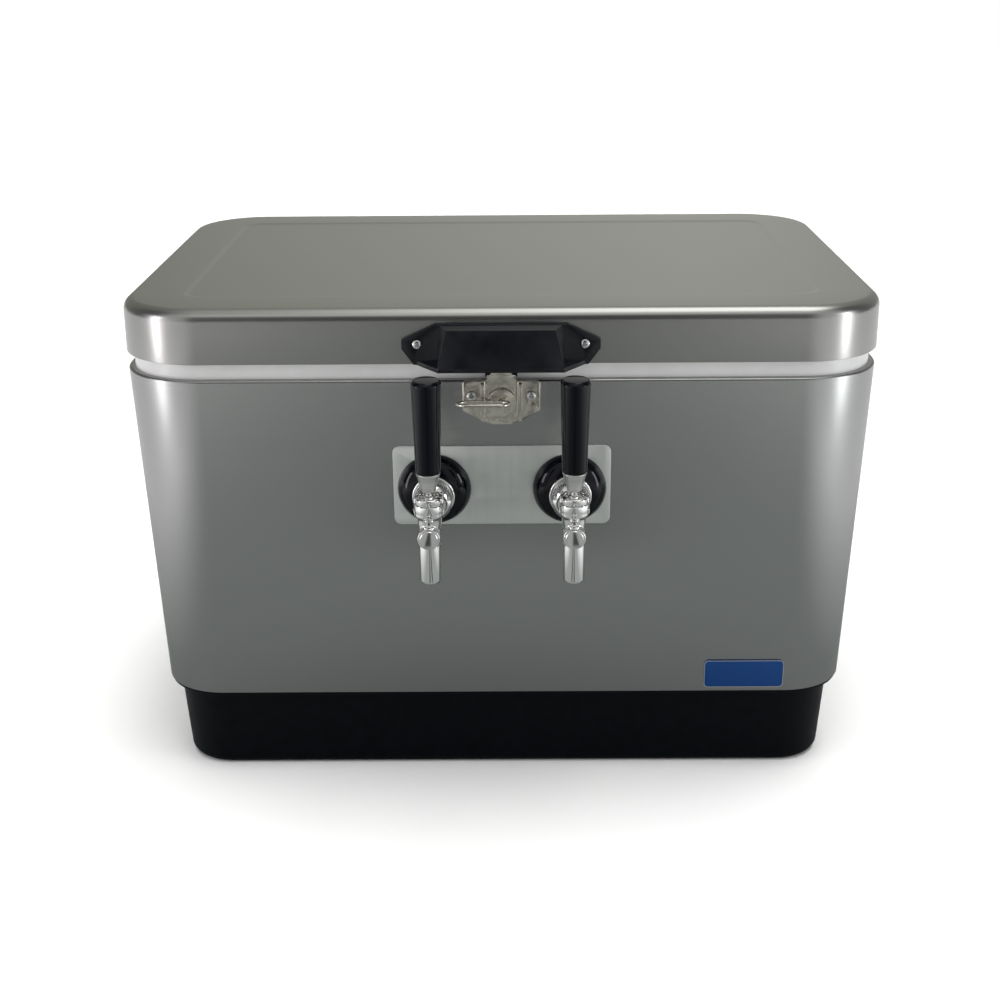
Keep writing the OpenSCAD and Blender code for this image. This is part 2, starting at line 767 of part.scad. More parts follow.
module handle_bracket(side) color(bright) on_end(side, bail_z) difference() {
    union() {
        wall_plate(0, bracket_t) round_rect(bracket_w, bracket_h, 8);
        for (i = [-1, 1]) translate([i * (ear_y + ear_w / 2) - ear_w / 2, -bail_out, 0]) {
            rotate([0, 90, 0]) cylinder(r = ear_r, h = ear_w);
            translate([0, 0, -ear_r]) cube([ear_w, bail_out, 2 * ear_r]);
        }
    }
    translate([-bracket_w, -bail_out, 0]) rotate([0, 90, 0])
        cylinder(r = bail_rod_r + fit_gap, h = 2 * bracket_w);
    for (i = [-1, 1])
        translate([i * bracket_screw_y, 0, -6]) peg(screw_d / 2 + hole_gap, -1, 3);
}

module left_handle_bracket() handle_bracket(-1);

module right_handle_bracket() handle_bracket(1);

module handle_screws() color(bright) bracket_screw_places() screw(bracket_t, screw_l);

// Moves to the pivots of a side handle, with the bail hanging straight down
module at_bail(side) on_end(side, bail_z) translate([0, -bail_out, 0]) rotate([-lean, 0, 0]) children();

module bail(side) color(bright) at_bail(side) {
    bend = bail_bend_r;
    for (i = [0, 1]) mirror([i, 0, 0]) {
        translate([ear_y - 0.5, 0, 0]) rotate([0, 90, 0])
            cylinder(r = bail_rod_r, h = bail_arm_y - bend - ear_y + 0.5);
        translate([bail_arm_y - bend, 0, -bend]) rotate([90, 0, 0])
            rotate_extrude(angle = 90) translate([bend, 0]) circle(bail_rod_r);
        translate([bail_arm_y, 0, -bail_arm + bend]) cylinder(r = bail_rod_r, h = bail_arm - 2 * bend);
        translate([bail_arm_y - bend, 0, -bail_arm + bend]) rotate([90, 0, 0]) rotate([0, 0, -90])
            rotate_extrude(angle = 90) translate([bend, 0]) circle(bail_rod_r);
    }
    translate([-bail_arm_y + bend, 0, -bail_arm]) rotate([0, 90, 0])
        cylinder(r = bail_rod_r, h = 2 * bail_arm_y - 2 * bend);
}

module left_bail() bail(-1);

module right_bail() bail(1);

module bail_grip(side) color(black) at_bail(side) translate([0, 0, -bail_arm]) rotate([0, 90, 0])
    difference() {
        cylinder(r = bail_grip_d / 2, h = bail_grip_w, center = true);
        cylinder(r = bail_rod_r + 0.1, h = bail_grip_w + 2, center = true);
    }

module left_bail_grip() bail_grip(-1);

module right_bail_grip() bail_grip(1);

// --- Drain ---

module at_drain(x) translate([x, drain_y, drain_z]) rotate([0, 90, 0]) children();

module drain_spout() color(white) difference() {
    union() {
        at_drain(drain_inner - 11) cylinder(r = drain_tail_r, h = drain_seat - drain_inner + 11.5);
        at_drain(drain_seat) cylinder(r = drain_flange_r, h = drain_flange_t);
        at_drain(drain_seat + 1) cylinder(r = drain_thread_d / 2, h = drain_mouth - drain_seat - 1);
    }
    at_drain(drain_inner - 20) cylinder(r = drain_bore_d / 2, h = 90);
}

module drain_nut() color(white) difference() {
    at_drain(drain_inner - 8) cylinder(r = 14.5, h = 7.6, $fn = 6);
    at_drain(drain_inner - 20) cylinder(r = drain_tail_r + 0.1, h = 90);
}

module drain_gasket() color(black) difference() {
    at_drain(boss_face) cylinder(r = gasket_r, h = gasket_t);
    at_drain(boss_face - 1) cylinder(r = drain_tail_r + 0.3, h = gasket_t + 2);
}

module drain_cap() color(black) difference() {
    at_drain(drain_mouth - 17) cylinder(r = cap_r, h = 17 + cap_seal_t + cap_wall + 0.6);
    at_drain(drain_mouth - 18) cylinder(r = drain_thread_d / 2 + fit_gap, h = 18 + cap_seal_t + 0.6);
}

module drain_cap_seal() color([0.75, 0.2, 0.15])
    at_drain(drain_mouth + 0.3) cylinder(r = drain_thread_d / 2 - 0.3, h = cap_seal_t);

// --- Fixed parts of the taps ---

module tap_plate() color([0.68, 0.70, 0.68]) on_front(tap_z) difference() {
    wall_plate(0, tap_plate_t) translate([0, tap_plate_up]) round_rect(tap_plate_w, tap_plate_h, 6);
    for (side = [-1, 1]) translate([side * tap_x, 0, 0]) peg(shank_r + hole_gap, -1, 3);
}

module nameplate() color([0.05, 0.25, 0.60]) on_front(base_h + 17) translate([209, 0, 0])
    wall_plate(0, 1.2) round_rect(name_w, name_h, 4);

module shank(side) color(bright) at_tap(side) difference() {
    union() {
        peg(shank_tail_r, -shank_end, -shank_end + 13);
        peg(shank_r, -shank_end + 12, flange_front + 0.5);
        peg(collar_d / 2, flange_front, coupling_from);
        peg(12, flange_front + 1, coupling_from + 7);
    }
    peg(beer_way_d / 2, -shank_end - 1, coupling_from + 8);
}

module left_shank() shank(-1);

module right_shank() shank(1);

module flange(side) color(black) at_tap(side) difference() {
    rotate([90, 0, 0]) rotate_extrude() difference() {
        union() {
            square([flange_d / 2, tap_plate_t + 4]);
            translate([0, tap_plate_t + 4 - 8]) intersection() {
                translate([flange_d / 2 - 18, 0]) circle(18);
                square([flange_d / 2, flange_h + 4]);
            }
            square([flange_d / 2 - 10, flange_front]);
        }
        square([shank_r + hole_gap, 2 * flange_front]);
        translate([0, -20]) square([flange_d, 20 + tap_plate_t]);
    }
}

module left_flange() flange(-1);

module right_flange() flange(1);

module shank_nuts() color(bright) for (side = [-1, 1]) at_tap(side) difference() {
    hex_peg(nut_flat, -wall_depth - shank_nut_t - 1.5, -wall_depth - 1.5);
    peg(shank_r + 0.1, -wall_depth - 20, 0);
}

module coupling_nuts() color(bright) for (side = [-1, 1]) at_tap(side) difference() {
    union() {
        peg(coupling_d / 2, coupling_from, coupling_from + coupling_l - 3);
        cone_peg(coupling_d / 2, coupling_d / 2 - 3,
            coupling_from + coupling_l - 3, coupling_from + coupling_l);
    }
    peg(13.2, coupling_from - 1, coupling_from + 12);
    peg(11.2, coupling_from + 11, coupling_from + coupling_l + 1);
}

// Barrel, neck and ball housing of one faucet
module faucet_body(side) color(bright) at_tap(side) difference() {
    union() {
        peg(13, coupling_from + 7.5, coupling_from + 11.7);
        peg(10.9, coupling_from + 11, coupling_from + coupling_l + 2);
        cone_peg(10.9, barrel_r, coupling_from + coupling_l + 2, coupling_from + coupling_l + 9);
        peg(barrel_r, coupling_from + coupling_l + 8, barrel_end);
        translate([0, -lever_reach, 0]) {
            cylinder(r = neck_r, h = 14);
            translate([0, 0, 12.5]) cylinder(r1 = neck_r, r2 = housing_r, h = 3);
            translate([0, 0, 15.5]) cylinder(r = housing_r, h = bonnet_from - 15.5);
            translate([0, 0, -spout_from]) cylinder(r = spout_r - 0.2, h = spout_from);
        }
    }
    peg(rear_bore_r, coupling_from, seat_back);
    peg(seat_r, seat_back - 1, seat_front + 1);
    peg(chamber_r, seat_front, barrel_end + 1);
    translate([0, -lever_reach, 0]) {
        cylinder(r = neck_bore_r, h = ball_up);
        translate([0, 0, ball_up]) sphere(r = ball_d / 2 + fit_gap);
        translate([0, 0, ball_up]) cylinder(r = ball_d / 2 + fit_gap, h = 10);
        translate([0, 0, -spout_from - 1]) cylinder(r = spout_bore_d / 2 - 0.6, h = spout_from + 1);
    }
}

module left_faucet_body() faucet_body(-1);

module right_faucet_body() faucet_body(1);

module spout(side) color(bright) at_tap(side) translate([0, -lever_reach, 0]) difference() {
    union() {
        translate([0, 0, -spout_drop + 1]) cylinder(r = spout_r, h = spout_drop - spout_from - 1);
        translate([0, 0, -spout_drop]) cylinder(r1 = spout_r - 0.6, r2 = spout_r, h = 1);
    }
    translate([0, 0, -spout_drop - 1]) cylinder(r = spout_bore_d / 2, h = spout_drop);
}

module left_spout() spout(-1);

module right_spout() spout(1);

module front_caps() color(bright) for (side = [-1, 1]) at_tap(side) {
    peg(barrel_r, barrel_end, barrel_end + 2.6);
    cone_peg(6.8, 6.3, barrel_end + 2.6, faucet_reach);
}

module bonnet_nuts() color(bright) for (side = [-1, 1]) at_tap(side) translate([0, -lever_reach, 0])
    difference() {
        union() {
            translate([0, 0, bonnet_from]) cylinder(r = bonnet_r, h = bonnet_top - bonnet_from - 1.2);
            translate([0, 0, bonnet_top - 1.2]) cylinder(r1 = bonnet_r, r2 = bonnet_r - 1.2, h = 1.2);
        }
        translate([0, 0, ball_up]) sphere(r = ball_d / 2 + fit_gap);
        translate([0, 0, ball_up + 4.6]) cylinder(r1 = 7.6, r2 = 9, h = 3.5);
    }

// --- Moving parts of the taps ---

module lever(side) color(bright) at_tap(side) translate([0, -lever_reach, ball_up]) {
    sphere(r = ball_d / 2);
    cylinder(r = stem_r, h = ferrule_from - ball_up + 0.5);
    translate([0, 0, ferrule_from - ball_up]) cylinder(r = stud_r, h = stud_top - ferrule_from);
    rotate([-finger_lean, 0, 0]) {
        translate([0, 0, -finger_l]) cylinder(r = finger_r, h = finger_l);
        translate([0, 0, -finger_l]) sphere(r = finger_tip_r);
    }
}

module left_lever() lever(-1);

module right_lever() lever(1);

module ferrule(side) color(steel) at_tap(side) translate([0, -lever_reach, ferrule_from]) difference() {
    union() {
        cylinder(r1 = ferrule_foot_d / 2 - 1, r2 = ferrule_foot_d / 2, h = 1);
        translate([0, 0, 1]) cylinder(r1 = ferrule_foot_d / 2, r2 = grip_foot_d / 2, h = ferrule_h - 1);
    }
    translate([0, 0, -1]) cylinder(r = stud_r + 0.1, h = ferrule_h + 2);
}

module left_ferrule() ferrule(-1);

module right_ferrule() ferrule(1);

module tap_handle(side) color(black) at_tap(side) translate([0, -lever_reach, grip_from]) difference() {
    union() {
        cylinder(r1 = grip_foot_d / 2, r2 = grip_top_d / 2, h = grip_h - 4);
        translate([0, 0, grip_h - 4]) cylinder(r1 = grip_top_d / 2, r2 = grip_top_d / 2 - 1, h = 2.6);
        translate([0, 0, grip_h - 1.4]) cylinder(r1 = grip_top_d / 2 - 1, r2 = grip_top_d / 2 - 4, h = 1.4);
    }
    translate([0, 0, -1]) cylinder(r = stud_r + 0.1, h = stud_top - grip_from + 1.5);
}

module left_tap_handle() tap_handle(-1);

module right_tap_handle() tap_handle(1);

// Valve: a yoke that the lever's finger drives, a rod and the sealing disc behind the seat
module valve(side) color(nickel) at_tap(side) {
    back = valve_at - yoke_slot - yoke_cheek;
    difference() {
        peg(chamber_r - fit_gap, back, valve_at + yoke_slot + yoke_cheek);
        translate([-finger_tip_r - 0.3, -valve_at - yoke_slot, -10])
            cube([2 * finger_tip_r + 0.6, 2 * yoke_slot, 20]);
    }
    peg(2.2, seat_back - 1, back + 1);
    peg(rear_bore_r - 0.6, seat_back - 3.1, seat_back - 0.1);
}

module left_valve() valve(-1);

module right_valve() valve(1);

// --- Coils and lines ---

// One coil: two layers of close turns, and the two risers that carry the beer in and out
module coil(side) color(bright) {
    translate([side * coil_x, 0, coil_foot]) rotate_extrude()
        for (r = [coil_outer_r, coil_inner_r], i = [0 : coil_turns - 1])
            translate([r, i * turn_pitch]) tube_ring();
    at_tap(side) riser(shank_end + 1);
    at_inlet(side) riser(inlet_end + 1);
}

// The tube from a fitting: in from the wall, down to the coil's top and level to its side
module riser(start) {
    y_in = core_y + belt_reach(tap_z) - start * cos(lean);
    z_in = tap_z + start * sin(lean);
    y_turn = y_in - riser_lead * cos(lean) - riser_bend_r * (1 + sin(lean));
    z_turn = z_in + riser_lead * sin(lean) - riser_bend_r * cos(lean);
    translate([0, start, 0]) rotate([-90, 0, 0])
        tube_run(riser_lead) tube_bend(riser_bend_r, 90 + lean)
            tube_run(z_turn - riser_foot - riser_bend_r)
                mirror([0, 1, 0]) tube_bend(riser_bend_r, 90) tube_run(y_turn - riser_bend_r);
}

module left_coil() coil(-1);

module right_coil() coil(1);

module line_nuts() color(bright) {
    for (side = [-1, 1]) {
        at_tap(side) line_nut(shank_end - 11);
        at_inlet(side) line_nut(inlet_end - 11);
    }
}

module line_nut(from) {
    difference() {
        hex_peg(line_nut_flat, -from - line_nut_l, -from);
        peg(shank_tail_r + 0.1, -from - 12, -from + 1);
        peg(tube_r + 0.15, -from - line_nut_l - 1, -from - 11);
    }
}

module inlet_fittings() color(bright) for (side = [-1, 1]) at_inlet(side) difference() {
    union() {
        hex_peg(inlet_hex, 0.3, 7);
        peg(inlet_flare_r, 6, 20);
        peg(inlet_thread_r, -inlet_end + 12, 1);
        peg(shank_tail_r, -inlet_end, -inlet_end + 13);
    }
    peg(beer_way_d / 2, -inlet_end - 1, 30);
}

module inlet_nuts() color(bright) for (side = [-1, 1]) at_inlet(side) difference() {
    hex_peg(inlet_hex, -wall_depth - inlet_nut_t - 1.5, -wall_depth - 1.5);
    peg(inlet_thread_r + 0.1, -wall_depth - 20, 0);
}

base_tray();
steel_belt();
inner_liner();
body_foam();
lid_pan();
lid_liner();
lid_foam();
lid_pull();
lid_pull_screws();
latch_plate();
latch_screws();
latch_hasp();
latch_rotor();
latch_ring();
hinge_body_leaves();
hinge_lid_leaves();
hinge_pins();
hinge_body_screws();
hinge_lid_screws();
left_handle_bracket();
right_handle_bracket();
handle_screws();
left_bail();
right_bail();
left_bail_grip();
right_bail_grip();
drain_spout();
drain_nut();
drain_gasket();
drain_cap();
drain_cap_seal();
tap_plate();
nameplate();
left_shank();
right_shank();
left_flange();
right_flange();
shank_nuts();
coupling_nuts();
left_faucet_body();
right_faucet_body();
left_spout();
right_spout();
front_caps();
bonnet_nuts();
left_lever();
right_lever();
left_ferrule();
right_ferrule();
left_tap_handle();
right_tap_handle();
left_valve();
right_valve();
left_coil();
right_coil();
line_nuts();
inlet_fittings();
inlet_nuts();
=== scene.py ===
# %% [markdown]
# # A jockey box, built piece by piece
# A jockey box is an ice chest with beer taps in its front wall. Beer comes in at the back, runs through a
# long steel coil that stands in ice, and leaves cold at the tap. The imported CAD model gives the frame:
# every piece below goes where its CAD node is, in metres. The lengths in this file are millimetres, and one
# factor turns them into metres when a mesh is made.

# %% Load the frame
import json
import math
from math import cos, pi, radians, sin

import bmesh
import bpy
from mathutils import Matrix, Vector

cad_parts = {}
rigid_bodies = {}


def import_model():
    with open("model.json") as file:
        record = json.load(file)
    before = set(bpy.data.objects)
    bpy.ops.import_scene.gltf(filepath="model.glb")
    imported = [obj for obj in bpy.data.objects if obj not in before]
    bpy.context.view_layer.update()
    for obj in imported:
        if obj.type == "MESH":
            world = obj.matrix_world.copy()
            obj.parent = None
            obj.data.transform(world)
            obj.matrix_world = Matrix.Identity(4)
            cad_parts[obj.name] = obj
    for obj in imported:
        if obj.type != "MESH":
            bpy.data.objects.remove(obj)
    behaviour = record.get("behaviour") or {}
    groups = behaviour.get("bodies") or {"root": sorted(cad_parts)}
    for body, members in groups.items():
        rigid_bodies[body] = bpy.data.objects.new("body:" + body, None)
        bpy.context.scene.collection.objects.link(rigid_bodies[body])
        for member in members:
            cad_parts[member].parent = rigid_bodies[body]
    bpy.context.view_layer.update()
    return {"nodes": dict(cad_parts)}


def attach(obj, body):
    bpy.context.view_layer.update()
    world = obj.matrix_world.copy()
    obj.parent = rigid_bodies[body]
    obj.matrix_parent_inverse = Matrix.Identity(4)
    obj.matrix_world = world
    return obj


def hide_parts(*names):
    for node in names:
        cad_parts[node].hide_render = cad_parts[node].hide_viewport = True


for leftover in list(bpy.data.objects):
    bpy.data.objects.remove(leftover)
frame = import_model()
MM = 0.001
scene = bpy.context.scene


def in_scene(name, data):
    """A new object that is in the scene."""
    made = bpy.data.objects.new(name, data)
    scene.collection.objects.link(made)
    return made


# %% [markdown]
# ## The camera
# The camera looks down at the chest from about 1.2 metres in front of it. Its place, tilt and lens were
# fitted to the object's outline, and no lens shift or blur is needed.

# %% Camera
camera = in_scene("camera", bpy.data.cameras.new("camera"))
scene.camera = camera
camera.data.sensor_width = 36
camera.data.lens = 57.1
camera.location = (0.0057, -1.4644, 0.7029)
camera.rotation_euler = (radians(90 - 19.66), radians(0.4), radians(0.2))
scene.view_settings.view_transform = "Standard"
print("camera", [round(x, 3) for x in camera.location], "lens", camera.data.lens)

# %% [markdown]
# ## A short way to write nodes
# Every finish is a tree of nodes. Writing each socket by hand makes long scripts, so one helper makes a
# node, sets its plain values, and links every value that is another node's socket.

# %% Node helper
def node(tree, kind, *values, **named):
    """A new node. Lower-case names are settings, the others are inputs, with _ for a space."""
    made = tree.nodes.new(kind)
    for setting in [k for k in named if k.islower()]:
        setattr(made, setting, named.pop(setting))
    for place, value in [*enumerate(values), *named.items()]:
        socket = made.inputs[place.replace("_", " ") if isinstance(place, str) else place]
        if isinstance(value, bpy.types.NodeSocket):
            tree.links.new(value, socket)
        elif value is not None:
            socket.default_value = value
    return made


def math_node(tree, operation, *values):
    return node(tree, "ShaderNodeMath", *values, operation=operation).outputs[0]


def times(tree, *values):
    return math_node(tree, "MULTIPLY", *values)


def plus(tree, *values):
    return math_node(tree, "ADD", *values)


def ramp(tree, value, low, high, out_low=0.0, out_high=1.0):
    """The value, stretched from low..high to out_low..out_high and held inside it."""
    return node(tree, "ShaderNodeMapRange", value, low, high, out_low, out_high).outputs[0]


def mixed(tree, factor, first, second):
    """Two colours mixed. A colour is three numbers or a socket."""
    made = tree.nodes.new("ShaderNodeMix")
    made.data_type = "RGBA"
    for place, value in ((0, factor), (6, first), (7, second)):
        if isinstance(value, bpy.types.NodeSocket):
            tree.links.new(value, made.inputs[place])
        else:
            made.inputs[place].default_value = (*value, 1) if place else value
    return made.outputs[2]


def new_group(name, kind, inputs, outputs):
    """A node group with named sockets: (tree, its inputs, its outputs)."""
    tree = bpy.data.node_groups.new(name, kind)
    for label, socket_type, value in inputs:
        made = tree.interface.new_socket(name=label, in_out="INPUT", socket_type=socket_type)
        if value is not None:
            made.default_value = value
    for label, socket_type in outputs:
        tree.interface.new_socket(name=label, in_out="OUTPUT", socket_type=socket_type)
    return tree, tree.nodes.new("NodeGroupInput").outputs, tree.nodes.new("NodeGroupOutput").inputs


FLOAT, VECTOR = "NodeSocketFloat", "NodeSocketVector"

# %% [markdown]
# ## Effects that several finishes share
# Brushed steel shows thousands of fine scratches, all in one direction. Stretched noise makes them: it
# changes slowly along the grain and fast across it. Put in a group, the same grain serves sheet, plate and
# ferrules, and each finish chooses how fine it is. The group gives only numbers; the shader stays in the
# material.

# %% Brushed grain
grain_group, given, result = new_group(
    "brushed grain", "ShaderNodeTree",
    [("Vector", VECTOR, None), ("Scale", VECTOR, (6.0, 1500.0, 1500.0))],
    [("Height", FLOAT), ("Streak", FLOAT)])
tree = grain_group
fine = node(tree, "ShaderNodeMapping", Vector=given["Vector"], Scale=given["Scale"])
hair = node(tree, "ShaderNodeTexNoise", Vector=fine.outputs[0], Scale=1.0, Detail=3.0, Roughness=0.65)
coarse = node(tree, "ShaderNodeVectorMath", fine.outputs[0], (0.18, 0.12, 0.12), operation="MULTIPLY")
band = node(tree, "ShaderNodeTexNoise", Vector=coarse.outputs[0], Scale=1.0, Detail=2.0)
tree.links.new(hair.outputs[0], result["Height"])
tree.links.new(ramp(tree, band.outputs[0], 0.3, 0.7), result["Streak"])

# %% [markdown]
# Hands leave soft marks on metal and plastic: wide patches that are a little duller. Two noises of
# different size, multiplied, give patches with broken edges.

# %% Handling marks
marks_group, given, result = new_group(
    "handling marks", "ShaderNodeTree",
    [("Vector", VECTOR, None), ("Scale", FLOAT, 8.0)], [("Mask", FLOAT)])
tree = marks_group
wide = node(tree, "ShaderNodeTexNoise", Vector=given["Vector"], Scale=given["Scale"], Detail=3.0)
finer = node(tree, "ShaderNodeTexNoise", Vector=given["Vector"],
             Scale=times(tree, given["Scale"], 5.3), Detail=4.0)
patch = ramp(tree, wide.outputs[0], 0.46, 0.68)
tree.links.new(times(tree, patch, ramp(tree, finer.outputs[0], 0.3, 0.7)), result["Mask"])

# %% [markdown]
# Moulded plastic isn't mirror smooth: the mould was etched, which leaves a fine even pebble. Smooth Voronoi
# cells of about a third of a millimetre do that, with a little noise so that no two cells match.

# %% Moulded grain
mould_group, given, result = new_group(
    "moulded grain", "ShaderNodeTree",
    [("Vector", VECTOR, None), ("Scale", FLOAT, 2200.0)], [("Height", FLOAT), ("Mottle", FLOAT)])
tree = mould_group
cells = node(tree, "ShaderNodeTexVoronoi", Vector=given["Vector"], Scale=given["Scale"],
             feature="SMOOTH_F1", Smoothness=0.6)
mottle = node(tree, "ShaderNodeTexNoise", Vector=given["Vector"],
              Scale=times(tree, given["Scale"], 0.04), Detail=4.0)
tree.links.new(cells.outputs[0], result["Height"])
tree.links.new(ramp(tree, mottle.outputs[0], 0.3, 0.7), result["Mottle"])

# %% [markdown]
# Edges wear first. A rounded normal differs from the true one only near an edge, so how much the two differ
# is a mask for edges. Noise breaks it up, because wear is never even.

# %% Edge wear
wear_group, given, result = new_group(
    "edge wear", "ShaderNodeTree",
    [("Vector", VECTOR, None), ("Radius", FLOAT, 0.0008), ("Scale", FLOAT, 120.0)], [("Mask", FLOAT)])
tree = wear_group
round_normal = node(tree, "ShaderNodeBevel", Radius=given["Radius"], samples=4)
true_normal = node(tree, "ShaderNodeNewGeometry")
same = node(tree, "ShaderNodeVectorMath", round_normal.outputs[0], true_normal.outputs["Normal"],
            operation="DOT_PRODUCT")
edge = ramp(tree, same.outputs["Value"], 0.995, 0.90)
broken = node(tree, "ShaderNodeTexNoise", Vector=given["Vector"], Scale=given["Scale"], Detail=4.0)
tree.links.new(times(tree, edge, ramp(tree, broken.outputs[0], 0.42, 0.66)), result["Mask"])
print("shared effects:", [g.name for g in bpy.data.node_groups])

# %% [markdown]
# ## Finishes
# One function places the groups and the shader. What changes over the surface comes from nodes; a value
# that is the same everywhere, such as the coat, sits on the shader itself, so that an export can read it.

# %% Build a finish
FINISHES = {}


def finish(name, color, roughness, metallic=0.0, dark=0.12, spread=0.06, grain=None, pebble=None,
           wear=None, marks=9.0, bump=0.02, depth=0.00005, uv=False, **fixed):
    """A procedural material. grain is a scale for each axis, pebble a scale and wear a colour with a radius."""
    made = bpy.data.materials.new(name)
    made.use_nodes = True
    tree = made.node_tree
    shader = tree.nodes["Principled BSDF"]
    place = node(tree, "ShaderNodeTexCoord")
    where = place.outputs["UV" if uv else "Object"]
    touched = node(tree, "ShaderNodeGroup", node_tree=marks_group)
    touched.inputs["Scale"].default_value = marks
    tree.links.new(place.outputs["Object"], touched.inputs["Vector"])
    texture = node(tree, "ShaderNodeGroup", node_tree=grain_group if grain else mould_group)
    tree.links.new(where, texture.inputs["Vector"])
    texture.inputs["Scale"].default_value = grain or pebble
    mask = texture.outputs[1]
    tint = mixed(tree, mask, [c * (1 - dark) for c in color], [min(1, c * (1 + dark)) for c in color])
    rough = ramp(tree, mask, 0, 1, roughness - spread, roughness + spread)
    rough = plus(tree, rough, times(tree, touched.outputs["Mask"], spread * 1.5))
    if wear:
        worn = node(tree, "ShaderNodeGroup", node_tree=wear_group)
        worn.inputs["Radius"].default_value = wear[1]
        tree.links.new(place.outputs["Object"], worn.inputs["Vector"])
        tint = mixed(tree, worn.outputs["Mask"], tint, wear[0])
    tree.links.new(tint, shader.inputs["Base Color"])
    tree.links.new(rough, shader.inputs["Roughness"])
    relief = node(tree, "ShaderNodeBump", Strength=bump * 10, Distance=depth, Height=texture.outputs[0])
    tree.links.new(relief.outputs[0], shader.inputs["Normal"])
    shader.inputs["Metallic"].default_value = metallic
    for label, value in fixed.items():
        shader.inputs[label.replace("_", " ")].default_value = value
    FINISHES[name] = made


# %% [markdown]
# Metals first. The belt and the lid are the same brushed sheet, but the lid was pressed from one flat
# sheet, so its grain follows the flattened sheet. The tap parts are polished, the latch is nickel plated
# and a little yellow, and the ferrules are turned and left satin.

# %% Metal finishes
finish("brushed_sheet", (0.33, 0.335, 0.33), 0.25, 1.0, dark=0.010, spread=0.006, grain=(3.0, 2600.0, 2600.0),
       marks=7.0, bump=0.003, uv=True, Anisotropic=0.75)
finish("lid_sheet", (0.33, 0.33, 0.32), 0.28, 1.0, dark=0.008, spread=0.006, grain=(3.0, 2600.0, 2600.0),
       marks=5.0, bump=0.003, uv=True)
finish("polished_steel", (0.74, 0.74, 0.73), 0.07, 1.0, dark=0.05, spread=0.03, pebble=260.0,
       marks=40.0, bump=0.006)
finish("turned_steel", (0.60, 0.60, 0.59), 0.32, 1.0, grain=(60.0, 60.0, 2400.0), bump=0.03, Anisotropic=0.4)
finish("drawn_steel", (0.60, 0.60, 0.60), 0.22, 1.0, dark=0.08, pebble=420.0, marks=30.0)
finish("nickel_plate", (0.56, 0.53, 0.47), 0.20, 1.0, dark=0.12, spread=0.08, pebble=340.0, marks=60.0)
finish("plate_metal", (0.66, 0.68, 0.66), 0.44, 1.0, dark=0.025, grain=(1500.0, 1500.0, 20.0),
       marks=24.0, bump=0.02)
finish("brass", (0.62, 0.44, 0.18), 0.28, 1.0, pebble=500.0)
print("metals ready:", len(FINISHES))

# %% [markdown]
# Plastics, rubber, foam and enamel. The tray and the pull are the same black with a fine pebble, the
# flanges and tap handles are lacquered until they shine, and the liner is white and smooth.

# %% Other finishes
finish("black_mould", (0.002, 0.0026, 0.0045), 0.38, pebble=2600.0, dark=0.3, spread=0.05, bump=0.03,
       wear=((0.010, 0.011, 0.015), 0.0006), Specular_IOR_Level=0.12)
finish("slate_mould", (0.0035, 0.0045, 0.0075), 0.33, pebble=2600.0, dark=0.3, spread=0.05, bump=0.02,
       wear=((0.02, 0.022, 0.03), 0.0006), Specular_IOR_Level=0.30)
finish("gloss_black", (0.001, 0.0014, 0.004), 0.11, pebble=300.0, dark=0.2, spread=0.02, bump=0.003,
       Specular_IOR_Level=0.16, Coat_Weight=0.10, Coat_Roughness=0.04)
finish("white_mould", (0.80, 0.80, 0.79), 0.34, pebble=1500.0, dark=0.03, spread=0.05, bump=0.01,
       wear=((0.70, 0.69, 0.66), 0.0008))
finish("insulation", (0.72, 0.62, 0.40), 0.85, pebble=700.0, dark=0.15, bump=0.10, depth=0.0004)
finish("black_rubber", (0.02, 0.02, 0.02), 0.70, pebble=1400.0, bump=0.05)
finish("red_rubber", (0.38, 0.05, 0.03), 0.60, pebble=1400.0, bump=0.05)
finish("blue_enamel", (0.003, 0.05, 0.21), 0.16, pebble=240.0, dark=0.06, spread=0.02, bump=0.004,
       Specular_IOR_Level=0.25, Coat_Weight=0.15, Coat_Roughness=0.04)
print("all finishes:", sorted(FINISHES))

# %% [markdown]
# A look pairs a finish with the name of the record's material slot, since the two mostly go together.
# Only the finish is put on a piece here.

# %% Looks
CHROME, POLISHED = ("polished_steel", "chrome"), ("polished_steel", "stainless")
STEEL, NICKEL = ("drawn_steel", "stainless"), ("nickel_plate", "nickel")
BLACK, WHITE = ("black_mould", "black_plastic"), ("white_mould", "white_plastic")
GLOSS = ("gloss_black", "gloss_black")
print("looks:", CHROME, POLISHED, STEEL, NICKEL, BLACK, WHITE, GLOSS)

# %% [markdown]
# ## Shapes as lists
# A shape here is three lists: its points in millimetres, its faces and, where a finish needs them, a place
# on the flat sheet for each point. Lists are easy to move, copy and join before anything becomes an object.

# %% Shape helpers
TINY = 1e-6


def moved(shape, matrix):
    points = [tuple(matrix @ Vector(p)) for p in shape[0]]
    flip = matrix.determinant() < 0
    return points, [list(reversed(f)) if flip else list(f) for f in shape[1]]


def joined(*shapes):
    points, faces = [], []
    for shape in shapes:
        faces += [[i + len(points) for i in f] for f in shape[1]]
        points += list(shape[0])
    return points, faces


def arc(x, y, radius, start, end, steps):
    """Points on an arc, from one angle to another, in degrees."""
    angles = [radians(start + (end - start) * i / steps) for i in range(steps + 1)]
    return [(x + radius * cos(a), y + radius * sin(a)) for a in angles]


